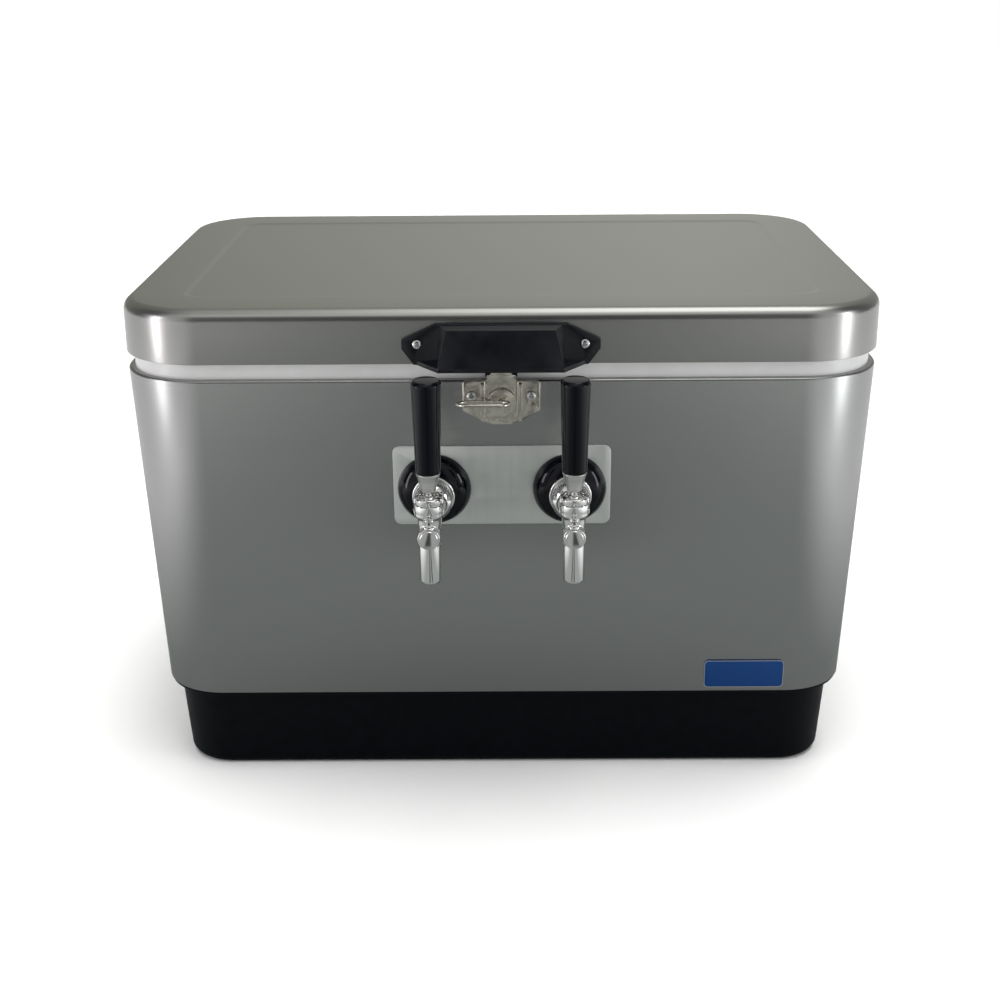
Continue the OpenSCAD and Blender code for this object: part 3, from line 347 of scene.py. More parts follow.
def filleted(corners, steps=4, closed=True):
    """A line of (x, y) or (x, y, radius) corners, with each radius drawn as an arc."""
    line = []
    count = len(corners)
    for i, corner in enumerate(corners):
        here = Vector(corner[:2])
        if len(corner) < 3 or (not closed and i in (0, count - 1)):
            line.append(tuple(here))
            continue
        before = Vector(corners[i - 1][:2]) - here
        after = Vector(corners[(i + 1) % count][:2]) - here
        half = before.angle(after) / 2
        run = min(corner[2] / math.tan(half), 0.49 * before.length, 0.49 * after.length)
        radius = run * math.tan(half)
        start, end = here + before.normalized() * run, here + after.normalized() * run
        centre = here + (before.normalized() + after.normalized()).normalized() * radius / sin(half)
        first, last = start - centre, end - centre
        swing = math.remainder(math.atan2(last.y, last.x) - math.atan2(first.y, first.x), 2 * pi)
        for k in range(steps + 1):
            c, s = cos(swing * k / steps), sin(swing * k / steps)
            line.append((centre.x + c * first.x - s * first.y, centre.y + s * first.x + c * first.y))
    return line


def between_spokes(profile, spokes):
    """Faces from each copy of a profile to the next. A profile that starts on the axis isn't a loop."""
    rows = len(profile)
    steps = [(i, (i + 1) % rows) for i in range(rows if profile[0][0] > TINY else rows - 1)]
    return [[k * rows + i, n * rows + i, n * rows + j, k * rows + j]
            for k, n in ((k, (k + 1) % spokes) for k in range(spokes))
            for i, j in steps if profile[i][0] + profile[j][0] > TINY]


def between_rings(a, b, count):
    """Faces between two rings of count points, which start at points a and b."""
    return [[a + i, a + (i + 1) % count, b + (i + 1) % count, b + i] for i in range(count)]


def lathe(profile, steps=48):
    """A profile of (radius, height) turned about Z."""
    angles = [radians(360 * k / steps) for k in range(steps)]
    return [(r * cos(a), r * sin(a), h) for a in angles for r, h in profile], between_spokes(profile, steps)


def wire(points, closed=False):
    """A line through points, as a shape that has only edges."""
    count = len(points)
    return points, [], [(i, (i + 1) % count) for i in range(count if closed else count - 1)]


def plate(outline, low, high, edge=0.3, steps=2):
    """An outline in X and Z, made a plate from Y = -low to Y = -high, with its front rim rounded by edge."""
    flat = [Vector(p) for p in outline]
    area = sum(a.x * b.y - b.x * a.y for a, b in zip(flat, flat[1:] + flat[:1]))
    if area < 0:
        flat.reverse()
    inward = []
    for i, p in enumerate(flat):
        a, b = (p - flat[i - 1]).normalized(), (flat[(i + 1) % len(flat)] - p).normalized()
        normal = Vector((-a.y - b.y, a.x + b.x)).normalized()
        inward.append(normal / max(0.3, normal.dot(Vector((-a.y, a.x)))))
    rings = [(0.0, low), (0.0, high - edge)]
    rings += [(edge * (1 - cos(a)), high - edge + edge * sin(a))
              for a in [pi / 2 * k / steps for k in range(1, steps + 1)]]
    count = len(flat)
    points = [(p.x + w.x * inset, -depth, p.y + w.y * inset) for inset, depth in rings
              for p, w in zip(flat, inward)]
    last = (len(rings) - 1) * count
    faces = [f for k in range(0, last, count) for f in between_rings(k, k + count, count)]
    return points, faces + [list(reversed(range(count))), [last + i for i in range(count)]]


# %% [markdown]
# ## From a shape to a piece
# Making a mesh is the same job each time: merge points that meet, turn the faces outwards, shade the curves
# smooth but keep real edges, then say which body carries the piece and hide the CAD nodes that it stands for.

# %% Piece helper
PIECES = []


def mesh_of(name, shape):
    """A mesh from a shape in millimetres, with its points turned into metres."""
    mesh = bpy.data.meshes.new(name)
    mesh.from_pydata([tuple(c * MM for c in p) for p in shape[0]], shape[2] if len(shape) > 2 else [], shape[1])
    return mesh


def cleaned(mesh):
    work = bmesh.new()
    work.from_mesh(mesh)
    bmesh.ops.remove_doubles(work, verts=work.verts, dist=1e-6)
    bmesh.ops.dissolve_degenerate(work, edges=work.edges, dist=1e-7)
    bmesh.ops.recalc_face_normals(work, faces=work.faces)
    work.to_mesh(mesh)
    work.free()
    return mesh


def piece(name, shape, body, look, *stands_for, angle=35, sheet=None):
    """An object from a shape in millimetres. sheet gives each point's place on the flat sheet."""
    mesh = mesh_of(name, shape)
    if sheet:
        flat = mesh.uv_layers.new(name="sheet")
        for loop in mesh.loops:
            flat.data[loop.index].uv = [c * MM for c in sheet[loop.vertex_index]]
    return settled(in_scene(name, cleaned(mesh)), body, look, *stands_for, angle=angle)


def settled(obj, body, look, *stands_for, angle=35):
    """Gives an object its finish and its body, and hides the CAD nodes that it stands for."""
    material, slot = look
    obj.data.materials.clear()
    obj.data.materials.append(FINISHES[material])
    obj.data.shade_smooth()
    obj.data.set_sharp_from_angle(angle=radians(angle))
    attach(obj, body)
    if stands_for:
        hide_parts(*stands_for)
    PIECES.append(obj.name)
    return obj


def paint(material, *names):
    """A CAD node whose shape is right keeps it, and only gets its finish."""
    for name in names:
        owner = frame["nodes"][name]
        owner.data.materials.clear()
        owner.data.materials.append(FINISHES[material])


# %% [markdown]
# ## Softened CAD nodes
# Small machined parts are right in the CAD, but every real edge is broken a little and catches the light. A
# copy of the node's mesh has its doubles merged and its flat faces joined, and a narrow bevel goes on what
# is left.

# %% Softened copies
def softened(name, source, body, look, width):
    """A piece from a CAD node, with every sharp edge rounded by width."""
    work = bmesh.new()
    work.from_mesh(frame["nodes"][source].data)
    bmesh.ops.remove_doubles(work, verts=work.verts, dist=1e-6)
    bmesh.ops.dissolve_limit(work, angle_limit=radians(0.5), verts=work.verts, edges=work.edges,
                             use_dissolve_boundaries=False)
    mesh = bpy.data.meshes.new(name)
    work.to_mesh(mesh)
    work.free()
    obj = in_scene(name, mesh)
    bevel = obj.modifiers.new("edges", "BEVEL")
    bevel.width = width * MM
    bevel.segments = 2
    bevel.limit_method = "ANGLE"
    bevel.angle_limit = radians(35)
    bevel.use_clamp_overlap = True
    baked(obj)
    return settled(obj, body, look, source, angle=34)


def baked(obj):
    """Turns what the modifiers make into the object's plain mesh."""
    shape = bpy.data.meshes.new_from_object(obj.evaluated_get(bpy.context.evaluated_depsgraph_get()))
    obj.modifiers.clear()
    obj.data = shape
    return obj


# %% [markdown]
# ## The walls lean
# The belt is wider at its top than at its foot, so every wall leans out by a little under three degrees. A
# matrix for a wall puts a fitting on it: X runs along the wall, -Y points out of it and Z goes up it.

# %% Chest sizes and wall frames
CORE_X, CORE_Y = 245.0, 157.5
BASE_H, BELT_TOP, RIM_TOP, LID_FOOT, LID_TOP = 78.0, 364.0, 377.0, 377.3, 422.0
BELT_FOOT_REACH, BELT_TOP_REACH = 56.0, 69.5
BEND_RADIUS, STEEL_T = 64, 0.8
FLARE = BELT_TOP_REACH - BELT_FOOT_REACH
LEAN = math.atan(FLARE / (BELT_TOP - BASE_H))
OUT = Matrix.Rotation(pi / 2, 4, "X")
TAP_X, TAP_Z = 56.0, 270.0
SIDES = (("left", -1), ("right", 1))


def belt_reach(z):
    return BELT_FOOT_REACH + FLARE * (z - BASE_H) / (BELT_TOP - BASE_H)


def at(x, y, z):
    return Matrix.Translation((x, y, z))


def wall(turn, core, z, along=0.0):
    """The frame of a wall at a height: turn 0 is the front, 90 the right end, 180 the back."""
    return (Matrix.Rotation(radians(turn), 4, "Z") @ at(0, -core - belt_reach(z), z)
            @ Matrix.Rotation(LEAN, 4, "X") @ at(along, 0, 0))


def tap(side):
    return wall(0, CORE_Y, TAP_Z, side * TAP_X)


print("walls lean", round(math.degrees(LEAN), 2), "degrees")

# %% [markdown]
# ## Shells that follow one outline
# Tray, belt, rim and lid share one plan: a rectangle with round corners about the same four centres. So
# each of them is a profile swept round that plan. A profile that starts and ends at reach 0 closes over the
# middle. The sheet's flat place is kept too: for the belt it is the way round and the height, and for the
# pressed lid it is where each point lay before the press bent the skirt down.

# %% Sweep round the outline
def swept(profile, corner_steps=16, pressed=False):
    """(shape, flat places) of a profile of (reach, z) swept round the plan."""
    spokes = [(sx * CORE_X, sy * CORE_Y, radians(90 * (quarter + k / corner_steps)))
              for quarter, (sx, sy) in enumerate(((1, 1), (-1, 1), (-1, -1), (1, -1)))
              for k in range(corner_steps + 1)]
    lengths = [0.0]
    for a, b in zip(profile, profile[1:]):
        lengths.append(lengths[-1] + math.hypot(b[0] - a[0], b[1] - a[1]))
    points, flat, run = [], [], 0.0
    for i, (cx, cy, a) in enumerate(spokes):
        if i:
            px, py, pa = spokes[i - 1]
            run += math.hypot(cx - px, cy - py) + BEND_RADIUS * abs(a - pa)
        for (reach, z), length in zip(profile, lengths):
            points.append((cx + reach * cos(a), cy + reach * sin(a), z))
            flat.append((cx + length * cos(a), cy + length * sin(a)) if pressed else (run, z + 0.3 * reach))
    faces = between_spokes(profile, len(spokes))
    if profile[0][0] < TINY:
        corners = [q * (corner_steps + 1) * len(profile) for q in range(4)]
        faces += [corners, [c + len(profile) - 1 for c in corners]]
    return (points, faces), flat


# %% [markdown]
# ### The base tray
# One black moulding carries everything. It is a dish with a large radius round its foot, a ledge that the
# belt stands on and a lip behind the belt. The drain's boss is on its right end.

# %% Base tray
tray_line = [(0, 0), (41, 0, 9), (46.7, BASE_H - 3.5, 0.8), (54.6, BASE_H - 3.2, 0.6), (54.9, BASE_H, 0.3),
             (54.9, BASE_H + 12, 0.8), (52.4, BASE_H + 12, 0.8), (52.4, BASE_H - 1), (43.9, BASE_H - 1, 1),
             (38, 3, 6), (0, 3)]
shape, flat = swept(filleted(tray_line, 8, closed=False))
DRAIN_Y, DRAIN_Z, BOSS = 110.0, 60.0, 298.5
boss = moved(lathe(filleted([(11.8, 0), (15, 0), (15, 11.5, 0.8), (11.8, 11.5, 0.3)], 3), 48),
             at(BOSS - 11.5, DRAIN_Y, DRAIN_Z) @ Matrix.Rotation(pi / 2, 4, "Y"))
tray = piece("base_tray_shell", joined(shape, boss), "chest", BLACK, "base_tray")
print("tray", len(tray.data.polygons), "faces")

# %% [markdown]
# ### The steel belt
# The belt is a band of brushed sheet bent round the chest. Its foot is cut straight and its top edge is
# rolled in over the foam, which gives the fine bright line under the white rim.

# %% Steel belt
belt_line = [(BELT_FOOT_REACH, BASE_H, 0.3), (BELT_TOP_REACH, BELT_TOP, 2.6), (64.3, BELT_TOP, 0.3),
             (64.3, BELT_TOP - STEEL_T), (BELT_TOP_REACH - STEEL_T, BELT_TOP - STEEL_T, 1.8),
             (BELT_FOOT_REACH - STEEL_T, BASE_H, 0.3)]
shape, flat = swept(filleted(belt_line, 6))
piece("belt_sheet", shape, "chest", ("brushed_sheet", "brushed_steel"), "steel_belt", sheet=flat)

# %% [markdown]
# ### The white liner
# The ice well is one white moulding. Its rim shows all round between belt and lid, and its floor meets the
# walls in a soft radius so that it can be wiped out.

# %% Inner liner
liner_line = [(0, 45), (24, 45, 8), (28, RIM_TOP, 3), (64, RIM_TOP, 1.6), (64, 354, 0.5), (61.5, 354, 0.5),
              (61.5, 374.5), (30.5, 374.5), (26.5, 42.5, 8), (0, 42.5)]
shape, flat = swept(filleted(liner_line, 6, closed=False))
piece("ice_well", shape, "chest", WHITE, "inner_liner")

# %% [markdown]
# ### The lid
# The lid's skin was pressed from one sheet: a shallow panel in the top, a rolled edge and a skirt. Under it
# a white inner lid drops into the well, and foam fills the space between.

# %% Lid skin and inner lid
PANEL_DROP, LID_REACH = 0.8, 70
lid_line = [(0, LID_TOP - PANEL_DROP), (15.5, LID_TOP - PANEL_DROP, 6), (20.5, LID_TOP, 6),
            (LID_REACH, LID_TOP, 10), (LID_REACH, LID_FOOT, 0.35), (LID_REACH - STEEL_T, LID_FOOT, 0.35),
            (LID_REACH - STEEL_T, LID_TOP - STEEL_T, 9.2), (0, LID_TOP - PANEL_DROP - STEEL_T)]
shape, flat = swept(filleted(lid_line, 8, closed=False), 24, pressed=True)
piece("lid_skin", shape, "lid", ("lid_sheet", "brushed_steel"), "lid_pan", sheet=flat)
inner_lid_line = [(0, 365), (26.2, 365, 2), (26.2, LID_FOOT, 1), (68.9, LID_FOOT, 0.5), (68.9, 392.3, 0.6),
                  (66.4, 392.3, 0.6), (66.4, 379.8), (23.7, 379.8), (23.7, 367.5), (0, 367.5)]
shape, flat = swept(filleted(inner_lid_line, 4, closed=False))
piece("inner_lid", shape, "lid", WHITE, "lid_liner")
paint("insulation", "body_foam", "lid_foam")

# %% [markdown]
# ## Pieces that repeat or follow a path
# Screws, ribs, threads, tube and wire are Geometry Nodes trees: one shape, placed or swept many times. Each
# tree has named inputs, ends in real geometry with its finish, and is baked once, so one mesh holds every
# copy.

# %% Tree helpers
def new_tree(name, inputs):
    """A Geometry Nodes tree: (tree, its inputs, a function that ends it)."""
    tree, given, result = new_group(name, "GeometryNodeTree",
                                    [("Geometry", "NodeSocketGeometry", None), *inputs,
                                     ("Material", "NodeSocketMaterial", None)],
                                    [("Geometry", "NodeSocketGeometry")])

    def ends(geometry):
        solid = node(tree, "GeometryNodeRealizeInstances", Geometry=geometry)
        coated = node(tree, "GeometryNodeSetMaterial", Geometry=solid.outputs[0], Material=given["Material"])
        tree.links.new(coated.outputs[0], result["Geometry"])
    return tree, given, ends


def beside(tree, given, added):
    """What the tree was given, and what it added to it."""
    both = node(tree, "GeometryNodeJoinGeometry")
    for part in (given["Geometry"], added.outputs[0]):
        tree.links.new(part, both.inputs[0])
    return both.outputs[0]


def grown(name, shape, tree, values, body, look, *stands_for, angle=40):
    """A piece that a tree grows from a shape in millimetres (its edges, points or solid)."""
    mesh = mesh_of(name, shape)
    if shape[1]:
        cleaned(mesh)
    if len(shape) > 3:
        facing = mesh.attributes.new("facing", "FLOAT_VECTOR", "POINT")
        for item, value in zip(facing.data, shape[3]):
            item.vector = value
    obj = in_scene(name, mesh)
    growth = obj.modifiers.new("growth", "NODES")
    growth.node_group = tree
    sockets = {s.name: s.identifier for s in tree.interface.items_tree if s.in_out == "INPUT"}
    for label, value in {**values, "Material": FINISHES[look[0]]}.items():
        growth[sockets[label]] = value
    baked(obj)
    return settled(obj, body, look, *stands_for, angle=angle)


# %% Tube along a path
tube_tree, given, ends = new_tree("tube along a path",
                                  [("Radius", FLOAT, 0.004), ("Sides", "NodeSocketInt", 20)])
tree = tube_tree
path = node(tree, "GeometryNodeMeshToCurve", Mesh=given["Geometry"])
ring = node(tree, "GeometryNodeCurvePrimitiveCircle", Resolution=given["Sides"], Radius=given["Radius"])
ends(node(tree, "GeometryNodeCurveToMesh", Curve=path.outputs[0], Profile_Curve=ring.outputs[0],
          Fill_Caps=True).outputs[0])

# %% [markdown]
# Screws sit on points. Each point says which way its screw faces, and a fixed seed gives each cross recess
# its own angle, because nobody lines them up.

# %% Screws on points
screw_tree, given, ends = new_tree("screws on points", [("Screw", "NodeSocketObject", None),
                                                        ("Seed", "NodeSocketInt", 7)])
tree = screw_tree
facing = node(tree, "GeometryNodeInputNamedAttribute", "facing", data_type="FLOAT_VECTOR")
aim = node(tree, "FunctionNodeAlignRotationToVector", Vector=facing.outputs[0], axis="Z")
spin = node(tree, "FunctionNodeRandomValue", data_type="FLOAT", Seed=given["Seed"])
spin.inputs[3].default_value = 3.1
turn = node(tree, "ShaderNodeCombineXYZ", Z=spin.outputs[1])
spun = node(tree, "FunctionNodeRotateRotation", aim.outputs[0],
            node(tree, "FunctionNodeEulerToRotation", turn.outputs[0]).outputs[0], rotation_space="LOCAL")
shape_in = node(tree, "GeometryNodeObjectInfo", given["Screw"])
ends(node(tree, "GeometryNodeInstanceOnPoints", Points=given["Geometry"],
          Instance=shape_in.outputs["Geometry"], Rotation=spun.outputs[0]).outputs[0])

# %% [markdown]
# Knurls and ribs are one tooth, repeated round a ring in one or more rows. The ring itself is the tree's
# input and stays, so the tooth only has to stand on it.

# %% Teeth round a ring
teeth_tree, given, ends = new_tree("teeth round a ring", [
    ("Tooth", "NodeSocketObject", None), ("Count", "NodeSocketInt", 60), ("Rows", "NodeSocketInt", 1),
    ("Radius", FLOAT, 0.01), ("Foot", FLOAT, 0.0), ("Step", FLOAT, 0.001), ("Slope", FLOAT, 0.0)])
tree = teeth_tree
total = times(tree, given["Count"], given["Rows"])
line = node(tree, "GeometryNodeMeshLine", Count=total)
index = node(tree, "GeometryNodeInputIndex").outputs[0]
row = math_node(tree, "FLOOR", math_node(tree, "DIVIDE", plus(tree, index, 0.5), given["Count"]))
shift = plus(tree, index, times(tree, row, 0.5))
angle = math_node(tree, "DIVIDE", times(tree, shift, 2 * pi), given["Count"])
reach = plus(tree, given["Radius"], times(tree, row, given["Slope"]))
spot = node(tree, "ShaderNodeCombineXYZ",
            times(tree, reach, math_node(tree, "COSINE", angle)),
            times(tree, reach, math_node(tree, "SINE", angle)),
            plus(tree, given["Foot"], times(tree, row, given["Step"])))
placed = node(tree, "GeometryNodeSetPosition", Geometry=line.outputs[0], Position=spot.outputs[0])
turned = node(tree, "FunctionNodeEulerToRotation", node(tree, "ShaderNodeCombineXYZ", Z=angle).outputs[0])
tooth = node(tree, "GeometryNodeObjectInfo", given["Tooth"])
around = node(tree, "GeometryNodeInstanceOnPoints", Points=placed.outputs[0],
              Instance=tooth.outputs["Geometry"], Rotation=turned.outputs[0])
ends(beside(tree, given, around))

# %% [markdown]
# A thread is a triangle swept along a spiral. The spiral stands on the rod that the tree is given.

# %% Thread on a rod
thread_tree, given, ends = new_tree("thread on a rod", [
    ("Radius", FLOAT, 0.008), ("Pitch", FLOAT, 0.0015), ("Turns", FLOAT, 8.0), ("Foot", FLOAT, 0.0)])
tree = thread_tree
height = times(tree, given["Pitch"], given["Turns"])
spiral = node(tree, "GeometryNodeCurveSpiral", Resolution=40, Rotations=given["Turns"],
              Start_Radius=given["Radius"], End_Radius=given["Radius"], Height=height)
lifted = node(tree, "GeometryNodeSetPosition", Geometry=spiral.outputs[0],
              Offset=node(tree, "ShaderNodeCombineXYZ", Z=given["Foot"]).outputs[0])
upright = node(tree, "GeometryNodeSetCurveNormal", Curve=lifted.outputs[0], mode="Z_UP")
tooth = node(tree, "GeometryNodeCurvePrimitiveCircle", Resolution=3,
             Radius=times(tree, given["Pitch"], 0.42))
swirl = node(tree, "GeometryNodeCurveToMesh", Curve=upright.outputs[0], Profile_Curve=tooth.outputs[0],
             Fill_Caps=True)
ends(beside(tree, given, swirl))
print("trees:", [g.name for g in bpy.data.node_groups if g.bl_idname == "GeometryNodeTree"])


# %% [markdown]
# ### Patterns for the trees
# A pattern is a small object that a tree copies. It leaves the scene once every piece that needs it is
# baked.

# %% Patterns
def pattern(name, shape):
    return bpy.data.objects.new(name, cleaned(mesh_of(name, shape)))


def set_down(obj, matrix):
    """Moves a baked piece by a matrix that is in millimetres."""
    obj.data.transform(Matrix.Scale(MM, 4) @ matrix @ Matrix.Scale(1 / MM, 4))
    return obj


def screw_pattern(shank):
    """A pan-head screw: the head's foot is at 0, and a cross is sunk into the head."""
    steps = 24
    angles = [2 * pi * k / steps for k in range(steps)]
    levels = [(1.6, -shank), (2.0, -shank + 0.6), (2.0, 0), (3.8, 0), (3.8, 0.9), (3.5, 1.7), (2.8, 2.2)]
    points = [(0, 0, -shank), *[(r * cos(a), r * sin(a), z) for r, z in levels for a in angles]]
    rings = [1 + steps * i for i in range(len(levels))]
    faces = [[0, 1 + (k + 1) % steps, 1 + k] for k in range(steps)]
    faces += [f for a, b in zip(rings, rings[1:]) for f in between_rings(a, b, steps)]
    slot, arm = 0.45, 2.0
    quarter = [(slot, slot), (slot, arm), (-slot, arm)]
    cross = [(x * c - y * s, x * s + y * c) for c, s in ((1, 0), (0, 1), (-1, 0), (0, -1)) for x, y in quarter]
    rim = [min(range(12), key=lambda c: (Vector((cos(a), sin(a))) * 3 - Vector(cross[c])).length)
           for a in angles]
    top, low, last = len(points), len(points) + 12, rings[-1]
    points += [(x, y, 2.4) for x, y in cross] + [(x * 0.8, y * 0.8, 1.1) for x, y in cross]
    for k in range(steps):
        a, b = rim[k], rim[(k + 1) % steps]
        faces.append([last + k, last + (k + 1) % steps, top + b, *([top + a] if a != b else [])])
        if a != b and (b - a) % 12 != 1:
            faces.append([top + (a + c) % 12 for c in range((b - a) % 12 + 1)])
    faces += between_rings(top, low, 12)
    return pattern("screw", (points, faces + [[low + c for c in range(12)]]))


def pyramid(width, height, stand):
    """A tooth that points along X, with its square foot sunk a little into the ring."""
    w, h = width / 2, height / 2
    return pattern("tooth", ([(-0.3, -w, 0), (-0.3, 0, -h), (-0.3, w, 0), (-0.3, 0, h), (stand, 0, 0)],
                             [[3, 2, 1, 0], [0, 1, 4], [1, 2, 4], [2, 3, 4], [3, 0, 4]]))


def rib(width, length, stand):
    """A rounded bar along Z for ribs round a cap or a nut."""
    outline = [(-0.4, -width / 2), (stand * 0.5, -width / 2), (stand, -width * 0.22), (stand, width * 0.22),
               (stand * 0.5, width / 2), (-0.4, width / 2)]
    ends_in = [(0.0, 0.7), (0.5, 1.0), (length - 0.5, 1.0), (length, 0.7)]
    points = [(x * (k if x > 0 else 1), y * k, z) for z, k in ends_in for x, y in outline]
    faces = [f for r in (0, 6, 12) for f in between_rings(r, r + 6, 6)]
    return pattern("rib", (points, faces + [[5, 4, 3, 2, 1, 0], [18 + i for i in range(6)]]))


short_screw, long_screw = screw_pattern(8), screw_pattern(12)


def screwed(name, places, screw, body, *stands_for):
    """One piece with a screw at each (frame, along, up, seat)."""
    points, facing = [], []
    for matrix, x, z, seat in places:
        points.append(tuple(matrix @ Vector((x, -seat, z))))
        facing.append(tuple(matrix.to_3x3() @ Vector((0, -1, 0))))
    return grown(name, (points, [], [], facing), screw_tree, {"Screw": screw}, body, STEEL,
                 *stands_for, angle=30)


# %% [markdown]
# ## Lid fittings
# The pull is one black moulding, screwed to the lid's front. Its raised block has a finger recess below and
# a steel bar inside, and the latch hooks under that bar. Two butt hinges join the lid to the chest at the
# back.

# %% Lid pull and screws
softened("lid_pull_block", "lid_pull", "lid", ("slate_mould", "black_plastic"), 0.7)
lid_front = at(0, -227.5, 395)
screwed("pull_screw_heads", [(lid_front, x, 0, 5) for x in (-67, 67)], long_screw, "lid", "lid_pull_screws")

# %% Hinges
HINGE_X = 190
softened("hinge_leaves_on_chest", "hinge_body_leaves", "chest", STEEL, 0.3)
softened("hinge_leaves_on_lid", "hinge_lid_leaves", "lid", STEEL, 0.3)
softened("hinge_rods", "hinge_pins", "chest", STEEL, 0.4)
back_leaf = wall(180, CORE_Y, BELT_TOP - 18)
lid_back = at(0, 227.5, RIM_TOP + 20) @ Matrix.Rotation(pi, 4, "Z")
leaf_x = [s * HINGE_X + i * 20 for s in (-1, 1) for i in (-1, 1)]
for name, leaf, body, node_name in (("hinge_screws_on_chest", back_leaf, "chest", "hinge_body_screws"),
                                    ("hinge_screws_on_lid", lid_back, "lid", "hinge_lid_screws")):
    screwed(name, [(leaf, x, 0, 1.5) for x in leaf_x], short_screw, body, node_name)

# %% [markdown]
# ## The latch
# A compression latch draws the lid down onto the chest. Its ring turns a disc, a cam on the disc moves the
# hooked hasp, and the hasp takes the lid's bar with it. All of it is stamped and cast zinc with nickel on
# top. A wider face plate stands on the hasp. It narrows at its top, so that it clears the pull when the
# latch closes.

# %% Latch
LATCH = wall(0, CORE_Y, 347)
softened("latch_base", "latch_plate", "chest", NICKEL, 0.45)
softened("latch_hook", "latch_hasp", "latch_hasp", NICKEL, 0.4)
softened("latch_disc", "latch_rotor", "latch_rotor", NICKEL, 0.35)
tongue_line = [(-11.6, 13), (-11.6, 22.8, 1), (-8.5, 23.6, 0.8), (-8.5, 29.6, 1),
               (8.5, 29.6, 1), (8.5, 23.6, 0.8), (11.6, 22.8, 1), (11.6, 13)]
tongue = plate(filleted(tongue_line), 5.75, 6.85, 0.3)
piece("latch_hook_face", moved(tongue, LATCH), "latch_hasp", NICKEL)
screwed("latch_screw_heads", [(LATCH, x, 3.5, 1.2) for x in (-24.2, 24.2)], short_screw, "chest",
        "latch_screws")
RING_OUT, RING_UP, RING_BEND = 10.9, 1.5, 8.5
loop = arc(-2, -RING_BEND, RING_BEND, 90, -90, 16) + arc(-27, -RING_BEND, RING_BEND, 270, 90, 16)
fold = LATCH @ at(0, -RING_OUT, RING_UP) @ Matrix.Rotation(radians(-9), 4, "X")
points = [tuple(fold @ Vector((x, y, 0))) for x, y in loop]
grown("latch_pull_ring", wire(points, closed=True), tube_tree, {"Radius": 0.0015, "Sides": 16}, "latch_ring",
      NICKEL, "latch_ring")
print("latch ring", len(points), "points round")

# %% [markdown]
# ## Carrying handles
# Each end has a swing handle: a bracket with two ears, a bent rod and a moulded grip with ribs for the
# fingers.

# %% Handles
BAIL_Z, BAIL_OUT, EAR_Y, ARM_Y, ARM, BEND = 304, 12, 50.5, 67.5, 52, 8


def bail_path(end):
    """The rod's centre line from ear to ear, in the frame of one end wall, hanging straight down."""
    half = [(EAR_Y, 0), *[(ARM_Y - BEND + x, -BEND + z) for x, z in arc(0, 0, BEND, 90, 0, 8)],
            *[(ARM_Y - BEND + x, -ARM + BEND + z) for x, z in arc(0, 0, BEND, 0, -90, 8)]]
    line = half + [(-x, z) for x, z in reversed(half)]
    hang = wall(end * 90, CORE_X, BAIL_Z) @ at(0, -BAIL_OUT, 0) @ Matrix.Rotation(-LEAN, 4, "X")
    return [tuple(hang @ Vector((x, 0, z))) for x, z in line], hang


grip_rib = rib(1.6, 92, 0.5)
for label, end in SIDES:
    softened(label + "_bracket", label + "_handle_bracket", "chest", STEEL, 0.4)
    points, hang = bail_path(end)
    grown(label + "_rod", wire(points), tube_tree,
          {"Radius": 0.003, "Sides": 20}, label + "_bail", STEEL, label + "_bail")
    sleeve = lathe(filleted([(3.1, -50), (8.6, -50, 1.5), (8.6, -47, 1), (8.9, 0, 200), (8.6, 47, 1),
                             (8.6, 50, 1.5), (3.1, 50)], 5), 40)
    grip = grown(label + "_grip", sleeve, teeth_tree,
                 {"Tooth": grip_rib, "Count": 22, "Radius": 0.0086, "Foot": -0.046}, label + "_bail",
                 BLACK, label + "_bail_grip")
    set_down(grip, hang @ at(0, 0, -ARM) @ Matrix.Rotation(pi / 2, 4, "Y"))
end_walls = [wall(end * 90, CORE_X, BAIL_Z) for _, end in SIDES]
screwed("handle_screw_heads", [(w, y, -6, 1.5) for w in end_walls for y in (-69, 69)], short_screw, "chest",
        "handle_screws")

# %% [markdown]
# ## The drain
# Melt water leaves through a threaded spout low on the right end. A cap with ribs closes it, and a nut
# inside clamps it against the tray's boss.

# %% Drain
DRAIN = at(0, DRAIN_Y, DRAIN_Z) @ Matrix.Rotation(pi / 2, 4, "Y")


def turned_piece(name, profile, matrix, body, look, *stands_for, steps=56):
    piece(name, moved(lathe(profile, steps), matrix), body, look, *stands_for, angle=32)


spout_line = filleted([(9.5, 258.4), (11.3, 258.4, 0.4), (11.3, 300.1), (17, 300.1, 0.5), (17, 303.1, 0.6),
                       (12.3, 303.1, 0.8), (12.3, 327.1, 0.6), (9.5, 327.1, 0.5)], 3)
spout = grown("drain_pipe", lathe(spout_line, 56), thread_tree,
              {"Radius": 0.01245, "Pitch": 0.0022, "Turns": 9.0, "Foot": 0.3052}, "chest", WHITE,
              "drain_spout")
set_down(spout, DRAIN)
softened("drain_back_nut", "drain_nut", "chest", WHITE, 0.6)
softened("drain_washer", "drain_gasket", "chest", ("black_rubber", "rubber"), 0.3)
softened("cap_washer", "drain_cap_seal", "drain_seal", ("red_rubber", "red_rubber"), 0.3)
cap_line = filleted([(13.25, 310.1), (16.6, 310.1, 0.6), (16.6, 333.1, 1.6), (5, 333.1, 1.5), (4.4, 332.3, 0.6),
                     (0, 332.3)], 4, closed=False) + [(0, 329.9), (13.25, 329.9)]
cap = grown("ribbed_cap", lathe(cap_line, 60), teeth_tree,
            {"Tooth": rib(1.5, 19.5, 0.85), "Count": 34, "Radius": 0.0166, "Foot": 0.3115}, "drain_cap",
            BLACK, "drain_cap")
set_down(cap, DRAIN)

# %% [markdown]
# ## Backing plate and badge
# A satin plate with rounded corners stands behind both taps and spreads their load over the thin belt. The
# badge low on the right is a plain blue enamelled plate: its lettering is left off.

